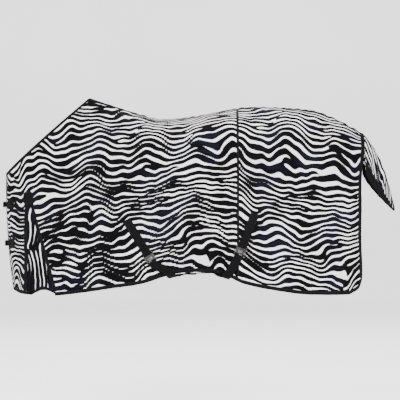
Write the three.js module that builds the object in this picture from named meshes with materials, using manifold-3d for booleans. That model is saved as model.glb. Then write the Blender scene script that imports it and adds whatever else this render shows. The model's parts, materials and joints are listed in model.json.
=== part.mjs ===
// Horse fly sheet: printed cloth panels with shoulder gussets, a tail flap, black
// bindings, two chest buckles and a pair of cross surcingles that hook on the near side.
// Millimetres. +X runs from head to tail, +Z is up, the near (left) side is -Y.
// The origin is the underside of the sheet on the spine, at the dip of the back.
import * as THREE from 'three';
import { mergeVertices } from 'three/addons/utils/BufferGeometryUtils.js';
import Module from 'manifold-3d';

const wasm = await Module();
wasm.setup();

// Overall sizes
const BACK_LENGTH = 1424; // withers peak to dock
const BACK_AHEAD = 372; // withers peak to the dip of the back
const CHEST_AHEAD = 430; // front of the chest to the withers peak
const NECK_FALL = 395; // height of the neck edge at the withers over that at the chest
const HEM_DEPTH = 903; // dip of the back to the lowest hem
const BARREL_HALF = 320; // widest half width
const NECK_HALF = 115; // sets the half width of the neck opening

// Cloth, bindings and clearances
const CLOTH = 2;
const TAPE = 1.2;
const GAP = 0.5; // between pieces that are sewn edge to edge
const LAY_GAP = 1.1; // between layers that lie on each other
const UNDER_GAP = 1.8; // from the cloth's underside to the inner leg of a folded binding
const STRAP_GAP = 2.2; // under a strap that lies on the curved cloth
const CENTRE_GAP = 0.2; // from each half to the centre plane
const BINDING_WIDTH = 18;
const SPINE_TAPE_HALF = 16;
const SEAM_TAPE_HALF = 6;
const REAR_CORNER = 88; // radius of the rear bottom corner
const REAR_NIP = 22; // how far the rear edge comes forward below the dock

// Lengthwise seams, as shares of the back length from the withers
const FLANK_SEAM = 0.54;
const FRONT_EDGE = 0.05; // of the chest's quarter turn, from the centre front
const UNDERLAP_OFF = 0.12;
const UNDERLAP_NEAR = 0.3;

// Shoulder gusset, in side view
const GUSSET_APEX_BEHIND_CHEST = 127;
const GUSSET_APEX_OVER_HEM = 506;
const GUSSET_FRONT_AT_HEM = 118; // chest to the gusset's front corner
const GUSSET_REAR_AT_HEM = 268; // chest to the gusset's rear corner
const GUSSET_HEM_ARCH = 30;
const HEM_CLEARANCE = 5; // hem binding to the foot of a slit band
const CORNER_SHARE = 0.2; // rear binding's foot over the corner, as a share of the binding width
const SLIT_BAND = 18; // width of the black band on each side of the gusset
const PATCH_WIDTH = 56;
const PATCH_HEIGHT = 70;
const PATCH_DROP = PATCH_HEIGHT / 6; // gusset's apex to the patch's middle
const PATCH_SIDES = 16;

// Webbing
const WEBBING = 45;
const WEBBING_THICK = 1.8;
const CHEST_STRAP = 25;
const CHEST_STRAP_THICK = 1.6;
const UPPER_STRAP_BELOW_NECK = 157; // neck edge at the chest to the upper strap
const CHEST_STRAP_PITCH = 200;

// Rows and columns of the cloth grid
const FRONT_COLUMNS = 13;
const BACK_COLUMNS = 24;
const CORNER_COLUMNS = 4;
const PANEL_ROWS = 13;

const WITHERS_X = -BACK_AHEAD;
const DOCK_X = WITHERS_X + BACK_LENGTH;
const CHEST_X = WITHERS_X - CHEST_AHEAD;
const NEAR = -1;
const OFF = 1;

/** Smooth curve y(x) through a short list of [x, y] points. */
function curveThrough(points) {
  const count = points.length;
  const slopes = points.map((point, i) => {
    const before = points[Math.max(i - 1, 0)];
    const after = points[Math.min(i + 1, count - 1)];
    return (after[1] - before[1]) / (after[0] - before[0]);
  });
  return (x) => {
    let i = 0;
    while (i < count - 2 && x > points[i + 1][0]) {
      i += 1;
    }
    const [x0, y0] = points[i];
    const [x1, y1] = points[i + 1];
    const span = x1 - x0;
    const t = (x - x0) / span;
    const rise = (2 * t - 3) * t * t;
    return (
      (1 + rise) * y0 - rise * y1 + t * (t - 1) * ((t - 1) * slopes[i] + t * slopes[i + 1]) * span
    );
  };
}

// Each curve runs from the chest (-0.306) past the withers (0) to the dock (1).
const CHEST_SHARE = -CHEST_AHEAD / BACK_LENGTH;
const topLine = curveThrough([
  [0, 111], [0.1, 63], [0.178, 28], [0.261, 0], [0.402, 18],
  [0.542, 57], [0.626, 62], [0.809, 46], [0.893, 5], [1, -75],
]);
const hemRise = curveThrough([
  [CHEST_SHARE, 22], [-0.256, 5], [-0.118, 0], [0.098, 39], [0.205, 62], [0.268, 93],
  [0.323, 112], [0.395, 119], [0.465, 114], [0.507, 96], [0.556, 62], [0.654, 32], [0.784, 7],
  [1, 6],
]);
const hemHalf = curveThrough([
  [CHEST_SHARE, 0.82], [0, 0.82], [0.19, 0.89], [0.39, 0.73],
  [0.56, 0.87], [0.72, 0.91], [0.93, 0.85], [0.965, 0.78], [1, 0.62],
]);
const backReach = curveThrough([
  [CHEST_SHARE, 0.52], [0, 0.52], [0.19, 0.81], [0.39, 0.94], [0.61, 0.8], [0.86, 0.67], [1, 0.39],
]);
const backFall = curveThrough([
  [CHEST_SHARE, 0.2], [0, 0.2], [0.19, 0.085], [0.39, 0.05], [0.61, 0.06], [0.86, 0.08], [1, 0.085],
]);
const sideBulge = curveThrough([
  [CHEST_SHARE, 0.19], [0, 0.19], [0.19, 0.22], [0.39, 0.34], [0.61, 0.14], [0.86, 0.08], [1, 0.03],
]);
const sideLift = curveThrough([
  [CHEST_SHARE, 0.44], [0, 0.55], [0.19, 0.62], [0.39, 0.64], [0.61, 0.52], [0.86, 0.45], [1, 0.55],
]);
const NECK_FLARE = 0.35;
const NECK_FULLNESS = 0.8;
const CHEST_TUCK = 0.092; // how far the chest draws back towards the hem

/** Station along the sheet: 0 at the centre front, 1 at the withers, 2 at the dock. */
function stationAt(s) {
  if (s < 1) {
    const turn = (Math.PI / 2) * s;
    const x = WITHERS_X - CHEST_AHEAD * Math.cos(turn);
    const neck = Math.sin(Math.PI * s) * (1 + NECK_FULLNESS * s);
    return { x, plan: Math.sin(turn), neck: NECK_HALF * neck };
  }
  return { x: WITHERS_X + (s - 1) * BACK_LENGTH, plan: 1, neck: 0 };
}

/** Point of the cloth's underside on the off side, v = 0 at the top edge, 1 at the hem. */
function undersidePoint(s, v) {
  const { x, plan, neck } = stationAt(s);
  const share = (x - WITHERS_X) / BACK_LENGTH;
  const topZ = s < 1 ? topLine(0) - (NECK_FALL * (WITHERS_X - x)) / CHEST_AHEAD : topLine(share);
  const cornerStart = DOCK_X - REAR_CORNER;
  const past = Math.min(Math.max(x - cornerStart, 0), REAR_CORNER);
  const corner = REAR_CORNER - Math.sqrt(REAR_CORNER * REAR_CORNER - past * past);
  const hemZ = hemRise(share) + corner - HEM_DEPTH;
  const depth = topZ - hemZ;
  const hemY = BARREL_HALF * hemHalf(share) * plan;
  const upperY = BARREL_HALF * backReach(share) * plan + NECK_FLARE * neck;
  const lowerY = hemY + BARREL_HALF * sideBulge(share) * plan;
  const upperZ = topZ - backFall(share) * depth;
  const lowerZ = hemZ + sideLift(share) * depth;
  const u = 1 - v;
  const y = u * u * u * neck + 3 * u * u * v * upperY + 3 * u * v * v * lowerY + v * v * v * hemY;
  const z = u * u * u * topZ + 3 * u * u * v * upperZ + 3 * u * v * v * lowerZ + v * v * v * hemZ;
  const tuck = s < 1 ? CHEST_TUCK * (WITHERS_X - x) * v * v * v : 0;
  const tail = THREE.MathUtils.smoothstep(x, DOCK_X - 2 * REAR_CORNER, DOCK_X);
  const nip = REAR_NIP * tail * THREE.MathUtils.smoothstep(v, 0.2, 0.6);
  return new THREE.Vector3(x + tuck - nip, y + CENTRE_GAP, z);
}

/** Point at an offset outside the cloth's underside, on the near or off side. */
function skin(s, v, side, offset) {
  const step = 1e-4;
  const point = undersidePoint(s, v);
  const along = undersidePoint(s + step, v).sub(undersidePoint(Math.max(s - step, 0), v));
  const down = undersidePoint(s, v + step).sub(undersidePoint(s, v - step));
  const normal = along.cross(down).normalize();
  point.addScaledVector(normal, offset);
  point.y *= side;
  return point;
}

/** Millimetres of cloth for each unit of v, at one point. */
function drop(s, v) {
  const step = 1e-3;
  return undersidePoint(s, v + step).distanceTo(undersidePoint(s, v)) / step;
}

/** Millimetres of cloth for each unit of s, at one point. */
function run(s, v) {
  const step = 1e-3;
  return undersidePoint(s + step, v).distanceTo(undersidePoint(s, v)) / step;
}

/** Station whose unshifted place along the body is x. */
function stationOf(x) {
  if (x >= WITHERS_X) {
    return 1 + (x - WITHERS_X) / BACK_LENGTH;
  }
  const ahead = Math.min((WITHERS_X - x) / CHEST_AHEAD, 1);
  return Math.acos(ahead) / (Math.PI / 2);
}

/** Row of the cloth at a station and a height. */
function rowAt(s, z) {
  let low = 0;
  let high = 1.1;
  for (let i = 0; i < 30; i += 1) {
    const middle = (low + high) / 2;
    if (undersidePoint(s, middle).z > z) {
      low = middle;
    } else {
      high = middle;
    }
  }
  return low;
}

/** Station and row of the cloth at a place in side view. */
function placeOnSide(x, z) {
  let s = stationOf(x);
  let v = 0;
  for (let pass = 0; pass < 6; pass += 1) {
    v = rowAt(s, z);
    const shift = undersidePoint(s, v).x - stationAt(s).x;
    s = stationOf(x - shift);
  }
  return { s, v };
}

/** Closed shell between layer 0 and layer 1 of a grid of points. */
function shell(columns, rows, pointAt) {
  const positions = [];
  for (let c = 0; c < columns; c += 1) {
    for (let r = 0; r < rows; r += 1) {
      for (let layer = 0; layer < 2; layer += 1) {
        positions.push(...pointAt(c, r, layer).toArray());
      }
    }
  }
  const index = (c, r, layer) => (c * rows + r) * 2 + layer;
  const triangles = [];
  const quad = (a, b, c, d) => triangles.push(a, b, c, a, c, d);
  for (let c = 0; c < columns - 1; c += 1) {
    for (let r = 0; r < rows - 1; r += 1) {
      quad(index(c, r, 1), index(c + 1, r, 1), index(c + 1, r + 1, 1), index(c, r + 1, 1));
      quad(index(c, r, 0), index(c, r + 1, 0), index(c + 1, r + 1, 0), index(c + 1, r, 0));
    }
    quad(index(c, 0, 0), index(c + 1, 0, 0), index(c + 1, 0, 1), index(c, 0, 1));
    const last = rows - 1;
    quad(index(c, last, 0), index(c, last, 1), index(c + 1, last, 1), index(c + 1, last, 0));
  }
  for (let r = 0; r < rows - 1; r += 1) {
    quad(index(0, r, 0), index(0, r, 1), index(0, r + 1, 1), index(0, r + 1, 0));
    const last = columns - 1;
    quad(index(last, r, 0), index(last, r + 1, 0), index(last, r + 1, 1), index(last, r, 1));
  }
  return facingOut(positions, triangles);
}

/** Closed geometry from positions and triangles, turned so that its volume is positive. */
function facingOut(positions, triangles) {
  let volume = 0;
  const corner = (i) => new THREE.Vector3().fromArray(positions, 3 * i);
  for (let t = 0; t < triangles.length; t += 3) {
    const [a, b, c] = [corner(triangles[t]), corner(triangles[t + 1]), corner(triangles[t + 2])];
    volume += a.dot(b.cross(c));
  }
  const geometry = new THREE.BufferGeometry();
  geometry.setAttribute('position', new THREE.Float32BufferAttribute(positions, 3));
  geometry.setIndex(volume < 0 ? triangles.slice().reverse() : triangles);
  return geometry;
}

/** Manifold solid of a closed geometry. */
function solidOf(geometry) {
  const plain = geometry.clone();
  plain.deleteAttribute('normal');
  plain.deleteAttribute('uv');
  const merged = mergeVertices(plain, 1e-4);
  const mesh = new wasm.Mesh({
    numProp: 3,
    vertProperties: new Float32Array(merged.attributes.position.array),
    triVerts: new Uint32Array(merged.index.array),
  });
  return new wasm.Manifold(mesh);
}

/** Geometry of a manifold solid. */
function geometryOf(solid) {
  const mesh = solid.getMesh();
  const geometry = new THREE.BufferGeometry();
  geometry.setAttribute('position', new THREE.Float32BufferAttribute(mesh.vertProperties, 3));
  geometry.setIndex(Array.from(mesh.triVerts));
  return geometry;
}

/** Prism along Y, on one side of the horse only, from side-view points. */
function sidePrism(outline, side) {
  const reach = 2 * BARREL_HALF;
  const shape = new THREE.Shape(outline.map(([x, z]) => new THREE.Vector2(x, z)));
  const geometry = new THREE.ExtrudeGeometry(shape, { depth: reach, bevelEnabled: false });
  geometry.rotateX(Math.PI / 2);
  geometry.translate(0, side === NEAR ? 0 : reach, 0);
  return solidOf(geometry);
}

const REAR_END = 2 - 0.6 / BACK_LENGTH;
const REAR_BAND = BINDING_WIDTH / BACK_LENGTH;
const CHEST_BAND = BINDING_WIDTH / run(FRONT_EDGE, 0.5);
const NOTCH_STATIONS = [0.96, 0.985]; // close to the withers, where the neck edge closes

/** Stations of the cloth grid, from one station to another. */
function stationsBetween(first, last) {
  const all = [FRONT_EDGE + CHEST_BAND, ...NOTCH_STATIONS, REAR_END - REAR_BAND];
  for (let i = 0; i < FRONT_COLUMNS; i += 1) {
    all.push(i / FRONT_COLUMNS);
  }
  const cornerShare = REAR_CORNER / BACK_LENGTH;
  for (let i = 0; i < BACK_COLUMNS; i += 1) {
    all.push(1 + ((1 - cornerShare) * i) / BACK_COLUMNS);
  }
  for (let i = 0; i < CORNER_COLUMNS; i += 1) {
    const turn = (Math.PI / 2) * (i / CORNER_COLUMNS);
    all.push(2 - cornerShare * (1 - Math.sin(turn)));
  }
  const least = 0.002;
  const bound = (s) => (s > FRONT_EDGE && s < FRONT_EDGE + CHEST_BAND) || s > REAR_END - REAR_BAND;
  const inside = all.filter((s) => s > first + least && s < last - least && !bound(s));
  inside.sort((a, b) => a - b);
  return [first, ...inside, last];
}

/** Row k of the panel grid at station s: a band at each edge and even rows between. */
function panelRow(s, k) {
  const topBand = (s < 1 ? BINDING_WIDTH : SPINE_TAPE_HALF) / drop(s, 0);
  const hemBand = 1 - BINDING_WIDTH / drop(s, 1);
  if (k === 0) {
    return 0;
  }
  if (k === PANEL_ROWS - 1) {
    return 1;
  }
  return topBand + ((hemBand - topBand) * (k - 1)) / (PANEL_ROWS - 3);
}

/** One cloth panel between two stations. */
function panel(stations, side) {
  return shell(stations.length, PANEL_ROWS, (c, r, layer) =>
    skin(stations[c], panelRow(stations[c], r), side, layer * CLOTH));
}

const ABOVE = CLOTH + LAY_GAP; // offset of a layer that lies on the cloth

// Folded binding, as distances into the cloth from its edge and offsets from its underside
const FOLD = [
  { inner: [BINDING_WIDTH, ABOVE], outer: [BINDING_WIDTH, ABOVE + TAPE] },
  { inner: [-LAY_GAP, ABOVE], outer: [-LAY_GAP - TAPE, ABOVE + TAPE] },
  { inner: [-LAY_GAP, -UNDER_GAP], outer: [-LAY_GAP - TAPE, -UNDER_GAP - TAPE] },
  { inner: [BINDING_WIDTH, -UNDER_GAP], outer: [BINDING_WIDTH, -UNDER_GAP - TAPE] },
];

/** Folded binding whose place is given by column, distance from the edge and offset. */
function binding(columns, place) {
  return shell(columns, FOLD.length, (c, r, layer) => {
    const [inward, offset] = layer ? FOLD[r].outer : FOLD[r].inner;
    return place(c, inward, offset);
  });
}

const group = new THREE.Group();

/** Adds one named mesh to the sheet. */
function add(name, geometry, finish) {
  const mesh = new THREE.Mesh(geometry, new THREE.MeshStandardMaterial(finish));
  mesh.name = name;
  group.add(mesh);
}

const printedCloth = { color: 0xe4e0e2, roughness: 0.85, metalness: 0 };
const blackTape = { color: 0x101014, roughness: 0.8, metalness: 0 };
const blackWebbing = { color: 0x0c0c0e, roughness: 0.75, metalness: 0 };
const darkMetal = { color: 0x6b6c70, roughness: 0.35, metalness: 1 };
const blackPlastic = { color: 0x141416, roughness: 0.45, metalness: 0 };

// Side-view outlines of the gusset, shared by both shoulders
const gussetApex = [CHEST_X + GUSSET_APEX_BEHIND_CHEST, GUSSET_APEX_OVER_HEM - HEM_DEPTH];
const belowHem = -HEM_DEPTH - 4 * BINDING_WIDTH;
const gussetFront = CHEST_X + GUSSET_FRONT_AT_HEM;
const gussetRear = CHEST_X + GUSSET_REAR_AT_HEM;

/** Gusset outline, grown or, with a negative margin, shrunk on both slanted edges. */
function gussetOutline(margin) {
  const [apexX, apexZ] = gussetApex;
  const spread = (gussetRear - gussetFront) / GUSSET_APEX_OVER_HEM;
  const topZ = margin > 0 ? apexZ + margin : apexZ + (2 * margin - GAP) / spread;
  const frontAt = (z) => apexX + ((gussetFront - apexX) * (apexZ - z)) / GUSSET_APEX_OVER_HEM;
  const rearAt = (z) => apexX + ((gussetRear - apexX) * (apexZ - z)) / GUSSET_APEX_OVER_HEM;
  const edgeZ = Math.min(topZ, apexZ);
  return [
    [frontAt(edgeZ) - margin, topZ],
    [rearAt(edgeZ) + margin, topZ],
    [rearAt(belowHem) + margin, belowHem],
    [frontAt(belowHem) - margin, belowHem],
  ];
}

/** Outline of the band along one slanted edge of the gusset. */
function slitBandOutline(footX, bottomZ) {
  const [apexX, apexZ] = gussetApex;
  const topZ = apexZ - PATCH_HEIGHT / 3;
  const half = SLIT_BAND / 2;
  const at = (z) => apexX + ((footX - apexX) * (apexZ - z)) / GUSSET_APEX_OVER_HEM;
  const shift = Math.sign(footX - apexX) * half * 0.9;
  return [
    [at(topZ) - half + shift, topZ],
    [at(topZ) + half + shift, topZ],
    [at(bottomZ) + half + shift, bottomZ],
    [at(bottomZ) - half + shift, bottomZ],
  ];
}

const sideNames = new Map([[NEAR, 'near'], [OFF, 'off']]);
for (const [side, word] of sideNames) {
  addPanels(side, word);
  addGusset(side, word);
  addEdges(side, word);
}

/** Front and rear panels, with the slit for the gusset. */
function addPanels(side, word) {
  const seam = 1 + FLANK_SEAM;
  const seamGap = GAP / BACK_LENGTH / 2;
  const front = panel(stationsBetween(FRONT_EDGE, seam - seamGap), side);
  const slit = sidePrism(gussetOutline(GAP / 2), side);
  add(`front_panel_${word}`, geometryOf(solidOf(front).subtract(slit)), printedCloth);
  add(`rear_panel_${word}`, panel(stationsBetween(seam + seamGap, REAR_END), side), printedCloth);
}

/** Gusset cloth with its arched and bound hem, its slit bands and its apex patch. */
function addGusset(side, word) {
  const stations = stationsBetween(
    placeOnSide(gussetApex[0] - PATCH_WIDTH, gussetApex[1]).s,
    placeOnSide(gussetRear + PATCH_WIDTH, gussetApex[1]).s,
  );
  const layerBand = (low, high) => shell(stations.length, PANEL_ROWS, (c, r, layer) =>
    skin(stations[c], panelRow(stations[c], r), side, layer ? high : low));
  const arched = (s) => {
    const { x } = stationAt(s);
    const t = THREE.MathUtils.clamp((x - gussetFront) / (gussetRear - gussetFront), 0, 1);
    return 1 - (GUSSET_HEM_ARCH * Math.sin(Math.PI * t)) / drop(s, 1);
  };
  const wedge = sidePrism(gussetOutline(-GAP / 2), side);
  const cloth = shell(stations.length, PANEL_ROWS, (c, r, layer) => {
    const s = stations[c];
    return skin(s, panelRow(s, r) * arched(s), side, layer * CLOTH);
  });
  add(`shoulder_gusset_${word}`, geometryOf(solidOf(cloth).intersect(wedge)), printedCloth);

  const hemFold = binding(stations.length, (c, inward, offset) => {
    const s = stations[c];
    return skin(s, arched(s) - inward / drop(s, 1), side, offset);
  });
  const hemWedge = sidePrism(gussetOutline(-SLIT_BAND), side);
  add(`gusset_hem_binding_${word}`, geometryOf(solidOf(hemFold).intersect(hemWedge)), blackTape);

  const tapeLayer = layerBand(ABOVE, ABOVE + TAPE);
  const bandFoot = BINDING_WIDTH + HEM_CLEARANCE - HEM_DEPTH;
  for (const [end, footX] of [['front', gussetFront], ['rear', gussetRear]]) {
    const prism = sidePrism(slitBandOutline(footX, bandFoot), side);
    add(`gusset_${end}_band_${word}`, geometryOf(solidOf(tapeLayer).intersect(prism)), blackTape);
  }

  const patchLayer = layerBand(ABOVE + TAPE + GAP, ABOVE + 2 * TAPE + GAP);
  const outline = [];
  const [apexX, apexZ] = gussetApex;
  for (let i = 0; i < PATCH_SIDES; i += 1) {
    const turn = (2 * Math.PI * i) / PATCH_SIDES;
    const x = apexX + (PATCH_WIDTH / 2) * Math.cos(turn);
    outline.push([x, apexZ - PATCH_DROP + (PATCH_HEIGHT / 2) * Math.sin(turn)]);
  }
  const patchPrism = sidePrism(outline, side);
  add(`gusset_patch_${word}`, geometryOf(solidOf(patchLayer).intersect(patchPrism)), blackTape);
}

/** Point of a hem binding, a distance in from the hem at right angles to it. */
function hemPoint(s, inward, side, offset) {
  const step = 1e-4;
  const edge = undersidePoint(s, 1);
  const along = undersidePoint(s + step, 1).sub(undersidePoint(s - step, 1));
  const down = undersidePoint(s, 1 + step).sub(undersidePoint(s, 1 - step));
  const normal = along.clone().cross(down).normalize();
  const into = along.normalize().cross(normal).normalize();
  const place = placeOnSide(edge.x + into.x * inward, edge.z + into.z * inward);
  return skin(place.s, place.v, side, offset);
}

/** Neck, hem, rear and chest bindings and the flank seam tape. */
function addEdges(side, word) {
  const neck = stationsBetween(FRONT_EDGE + CHEST_BAND, NOTCH_STATIONS[1]);
  add(`neck_binding_${word}`, binding(neck.length, (c, inward, offset) =>
    skin(neck[c], inward / drop(neck[c], 0), side, offset)), blackTape);

  const chestHem = stationsBetween(FRONT_EDGE, placeOnSide(gussetFront - GAP, -HEM_DEPTH).s);
  add(`chest_hem_binding_${word}`, binding(chestHem.length, (c, inward, offset) =>
    skin(chestHem[c], 1 - inward / drop(chestHem[c], 1), side, offset)), blackTape);

  const bodyHem = stationsBetween(placeOnSide(gussetRear + GAP, -HEM_DEPTH).s, REAR_END);
  add(`body_hem_binding_${word}`, binding(bodyHem.length, (c, inward, offset) =>
    hemPoint(bodyHem[c], inward, side, offset)), blackTape);

  const rows = PANEL_ROWS - 2;
  add(`chest_edge_binding_${word}`, binding(rows, (c, inward, offset) => {
    const s = FRONT_EDGE + (inward * CHEST_BAND) / BINDING_WIDTH;
    const lift = c === rows - 1 ? (LAY_GAP + TAPE) / drop(s, 1) : 0;
    return skin(s, panelRow(s, c + 1) - lift, side, offset);
  }), blackTape);
  const footZ = undersidePoint(REAR_END, 1).z + CORNER_SHARE * BINDING_WIDTH;
  add(`rear_binding_${word}`, binding(PANEL_ROWS - 2, (c, inward, offset) => {
    const s = REAR_END - inward / BACK_LENGTH;
    const foot = 1 - (footZ - undersidePoint(s, 1).z) / drop(s, 1);
    const start = c === 0 ? HEM_CLEARANCE / drop(s, 0) : 0;
    return skin(s, c === PANEL_ROWS - 3 ? foot : panelRow(s, c + 1) + start, side, offset);
  }), blackTape);

  const seam = 1 + FLANK_SEAM;
  add(`flank_seam_tape_${word}`, shell(PANEL_ROWS - 2, 3, (c, r, layer) => {
    const s = seam + ((r - 1) * SEAM_TAPE_HALF) / BACK_LENGTH;
    const start = c === 0 ? (2 * GAP) / drop(s, 0) : 0;
    const stop = c === PANEL_ROWS - 3 ? HEM_CLEARANCE / drop(s, 1) : 0;
    return skin(s, panelRow(s, c + 1) + start - stop, side, ABOVE + layer * TAPE);
  }), blackTape);
}

/** Tape over the spine seam, from the withers to the dock. */
function addSpineTape() {
  const stations = stationsBetween(1.004, REAR_END);
  const rows = [-1, -0.5, 0, 0.5, 1];
  add('spine_tape', shell(stations.length, rows.length, (c, r, layer) => {
    const s = stations[c];
    const offset = ABOVE + layer * TAPE;
    const across = rows[r];
    const side = across < 0 ? NEAR : OFF;
    const point = skin(s, (Math.abs(across) * SPINE_TAPE_HALF) / drop(s, 0), side, offset);
    if (across === 0) {
      const top = undersidePoint(s, 0);
      const slope = (point.z - top.z) / offset;
      point.set(top.x, 0, top.z + offset / slope);
    }
    return point;
  }), blackTape);
}
addSpineTape();

/** Tongue of cloth on the off side that lies under the near front. */
function addChestUnderlap() {
  const stations = [];
  const columns = 10;
  for (let i = 0; i <= columns; i += 1) {
    stations.push(-UNDERLAP_NEAR + ((UNDERLAP_OFF + UNDERLAP_NEAR) * i) / columns);
  }
  const low = 1 - (3 * BINDING_WIDTH) / drop(FRONT_EDGE, 1);
  const high = (2 * BINDING_WIDTH) / drop(FRONT_EDGE, 0);
  const rows = 10;
  const under = TAPE + UNDER_GAP + LAY_GAP;
  add('chest_underlap', shell(stations.length, rows, (c, r, layer) => {
    const v = high + ((low - high) * r) / (rows - 1);
    const offset = -under - layer * CLOTH;
    return skin(Math.abs(stations[c]), v, stations[c] < 0 ? NEAR : OFF, offset);
  }), printedCloth);
}
addChestUnderlap();

// Tail flap: a leaf of cloth that arches over the tail, sewn to the rear edge at the dock
const FLAP_GAP = 5; // rear binding to the flap's root
const FLAP_ROOT_HALF = 108;
const FLAP_ROOT_DEPTH = 200;
const FLAP_REACH = 166; // dock to the flap's tip
const FLAP_FALL = 394; // flap's root to its tip
const FLAP_TIP_HALF = 10;
const FLAP_TIP_LIP = 4;
const flapRootTop = topLine(1) - FLAP_GAP;
const FLAP_TIP = new THREE.Vector3(DOCK_X + FLAP_REACH, 0, flapRootTop - FLAP_FALL);
const FLAP_RIDGE_BENDS = [[70, 70], [128, 220]]; // behind the dock and below the root
const FLAP_EDGE_BENDS = [[30, 60, 0.9], [95, 130, 0.5]]; // the same, with shares of the half width
const flapRidge = new THREE.CubicBezierCurve3(
  new THREE.Vector3(DOCK_X + FLAP_GAP, 0, flapRootTop),
  ...FLAP_RIDGE_BENDS.map(([behind, below]) => (
    new THREE.Vector3(DOCK_X + behind, 0, flapRootTop - below))),
  FLAP_TIP,
);
const flapEdgeTop = flapRootTop - FLAP_ROOT_DEPTH;
const flapEdge = new THREE.CubicBezierCurve3(
  new THREE.Vector3(DOCK_X + FLAP_GAP, FLAP_ROOT_HALF, flapEdgeTop),
  ...FLAP_EDGE_BENDS.map(([behind, below, share]) => (
    new THREE.Vector3(DOCK_X + behind, FLAP_ROOT_HALF * share, flapEdgeTop - below))),
  FLAP_TIP.clone().add(new THREE.Vector3(-FLAP_TIP_LIP, FLAP_TIP_HALF, -FLAP_TIP_LIP)),
);

/** Point of the tail flap: along from root to tip, across from the near to the off edge. */
function flapPoint(along, across, offset) {
  const pointAt = (t, a) => {
    const ridge = flapRidge.getPoint(t);
    const edge = flapEdge.getPoint(t);
    const turn = (Math.PI / 2) * Math.abs(a);
    const point = new THREE.Vector3();
    point.x = THREE.MathUtils.lerp(edge.x, ridge.x, Math.cos(turn));
    point.z = THREE.MathUtils.lerp(edge.z, ridge.z, Math.cos(turn));
    point.y = Math.sign(a) * edge.y * Math.sin(turn);
    return point;
  };
  const step = 1e-3;
  const a = Math.abs(across);
  const point = pointAt(along, a);
  const down = pointAt(along + step, a).sub(pointAt(along - step, a));
  const out = pointAt(along, a + step).sub(pointAt(along, a - step));
  point.addScaledVector(down.cross(out).normalize(), offset);
  point.y = across === 0 ? 0 : point.y * Math.sign(across);
  return point;
}

/** Tail flap cloth and the folded binding along both of its edges. */
function addTailFlap() {
  const columns = 12;
  const rows = 11;
  const last = 0.985; // share of the flap's length, just short of its tip
  add('tail_flap', shell(columns, rows, (c, r, layer) =>
    flapPoint((last * c) / (columns - 1), (2 * r) / (rows - 1) - 1, layer * CLOTH)), printedCloth);
  for (const [side, word] of sideNames) {
    add(`tail_flap_binding_${word}`, binding(columns, (c, inward, offset) => {
      const t = (last * c) / (columns - 1);
      const across = 1 - (0.2 * inward) / BINDING_WIDTH;
      return flapPoint(t, side * across, offset);
    }), blackTape);
  }
}
addTailFlap();

// Surcingle fastening: a slot plate on the near anchor strap takes the hook of the belly strap
const BAR_R = 1.6;
const BAR_GAP = 0.4;
const LOOP_R = BAR_R + BAR_GAP + WEBBING_THICK / 2; // middle of the webbing round a bar
const PLATE_THICK = 2.5;
const RAIL = 3.5; // beside the webbing
const SIDE_GAP = 0.75;
const PLATE_WIDTH = WEBBING + 2 * (SIDE_GAP + RAIL);
const PLATE_BAR = -15; // places along the strap from the middle of the slot plate
const PLATE_SLOT = [-13.4, -7];
const HOOK_SLOT = [1, 10];
const PLATE_FOOT = 17;
const HOOK_SLOT_WIDTH = 26;
const HOOK_WIDTH = 22;
const HOOK_LIP = [4, 7];
const HOOK_RISE = 0.65; // slot plate to the hook's neck
const HOOK_HEEL = 18.5;
const HOOK_RING_SLOT = [24, 30.4];
const HOOK_BAR = 32;
const PLY_PITCH = WEBBING_THICK + GAP;

/** Frame fixed to the near side: an origin and directions along, across and out. */
function sideFrame(x, z, alongX, alongZ) {
  const { s, v } = placeOnSide(x, z);
  const base = skin(s, v, NEAR, CLOTH + STRAP_GAP);
  const out = skin(s, v, NEAR, CLOTH + STRAP_GAP + 1).sub(base).normalize();
  const along = new THREE.Vector3(alongX, 0, alongZ).normalize();
  along.addScaledVector(out, -along.dot(out)).normalize();
  const across = out.clone().cross(along).normalize();
  const lift = WEBBING_THICK + BAR_GAP + BAR_R; // underside of the webbing to a bar's middle
  const origin = base.addScaledVector(out, lift);
  return { origin, along, across, out };
}

/** World point of frame coordinates. */
function inFrame(frame, along, across, out) {
  return frame.origin.clone()
    .addScaledVector(frame.along, along)
    .addScaledVector(frame.across, across)
    .addScaledVector(frame.out, out);
}

/** Moves a geometry built with X along, Y across and Z out into a frame. */
function placeInFrame(geometry, frame) {
  const basis = new THREE.Matrix4().makeBasis(frame.along, frame.across, frame.out);
  basis.setPosition(frame.origin);
  return geometry.applyMatrix4(basis);
}

/** Flat plate in the frame's plane, with rectangular holes. */
function slottedPlate(outline, holes, low, thick) {
  const rectangle = ([x0, x1, halfWidth], Kind) => {
    const path = new Kind();
    path.moveTo(x0, -halfWidth);
    path.lineTo(x1, -halfWidth);
    path.lineTo(x1, halfWidth);
    path.lineTo(x0, halfWidth);
    path.closePath();
    return path;
  };
  const shape = rectangle(outline, THREE.Shape);
  shape.holes = holes.map((hole) => rectangle(hole, THREE.Path));
  const geometry = new THREE.ExtrudeGeometry(shape, { depth: thick, bevelEnabled: false });
  return geometry.translate(0, 0, low);
}

/** Box between two corners, in frame coordinates. */
function block(low, high) {
  const size = high.map((value, i) => value - low[i]);
  const geometry = new THREE.BoxGeometry(...size);
  return geometry.translate(...low.map((value, i) => value + size[i] / 2));
}

/** Round bar across the frame. */
function crossBar(along, length) {
  return new THREE.CylinderGeometry(BAR_R, BAR_R, length, 12).translate(along, 0, 0);
}

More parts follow.
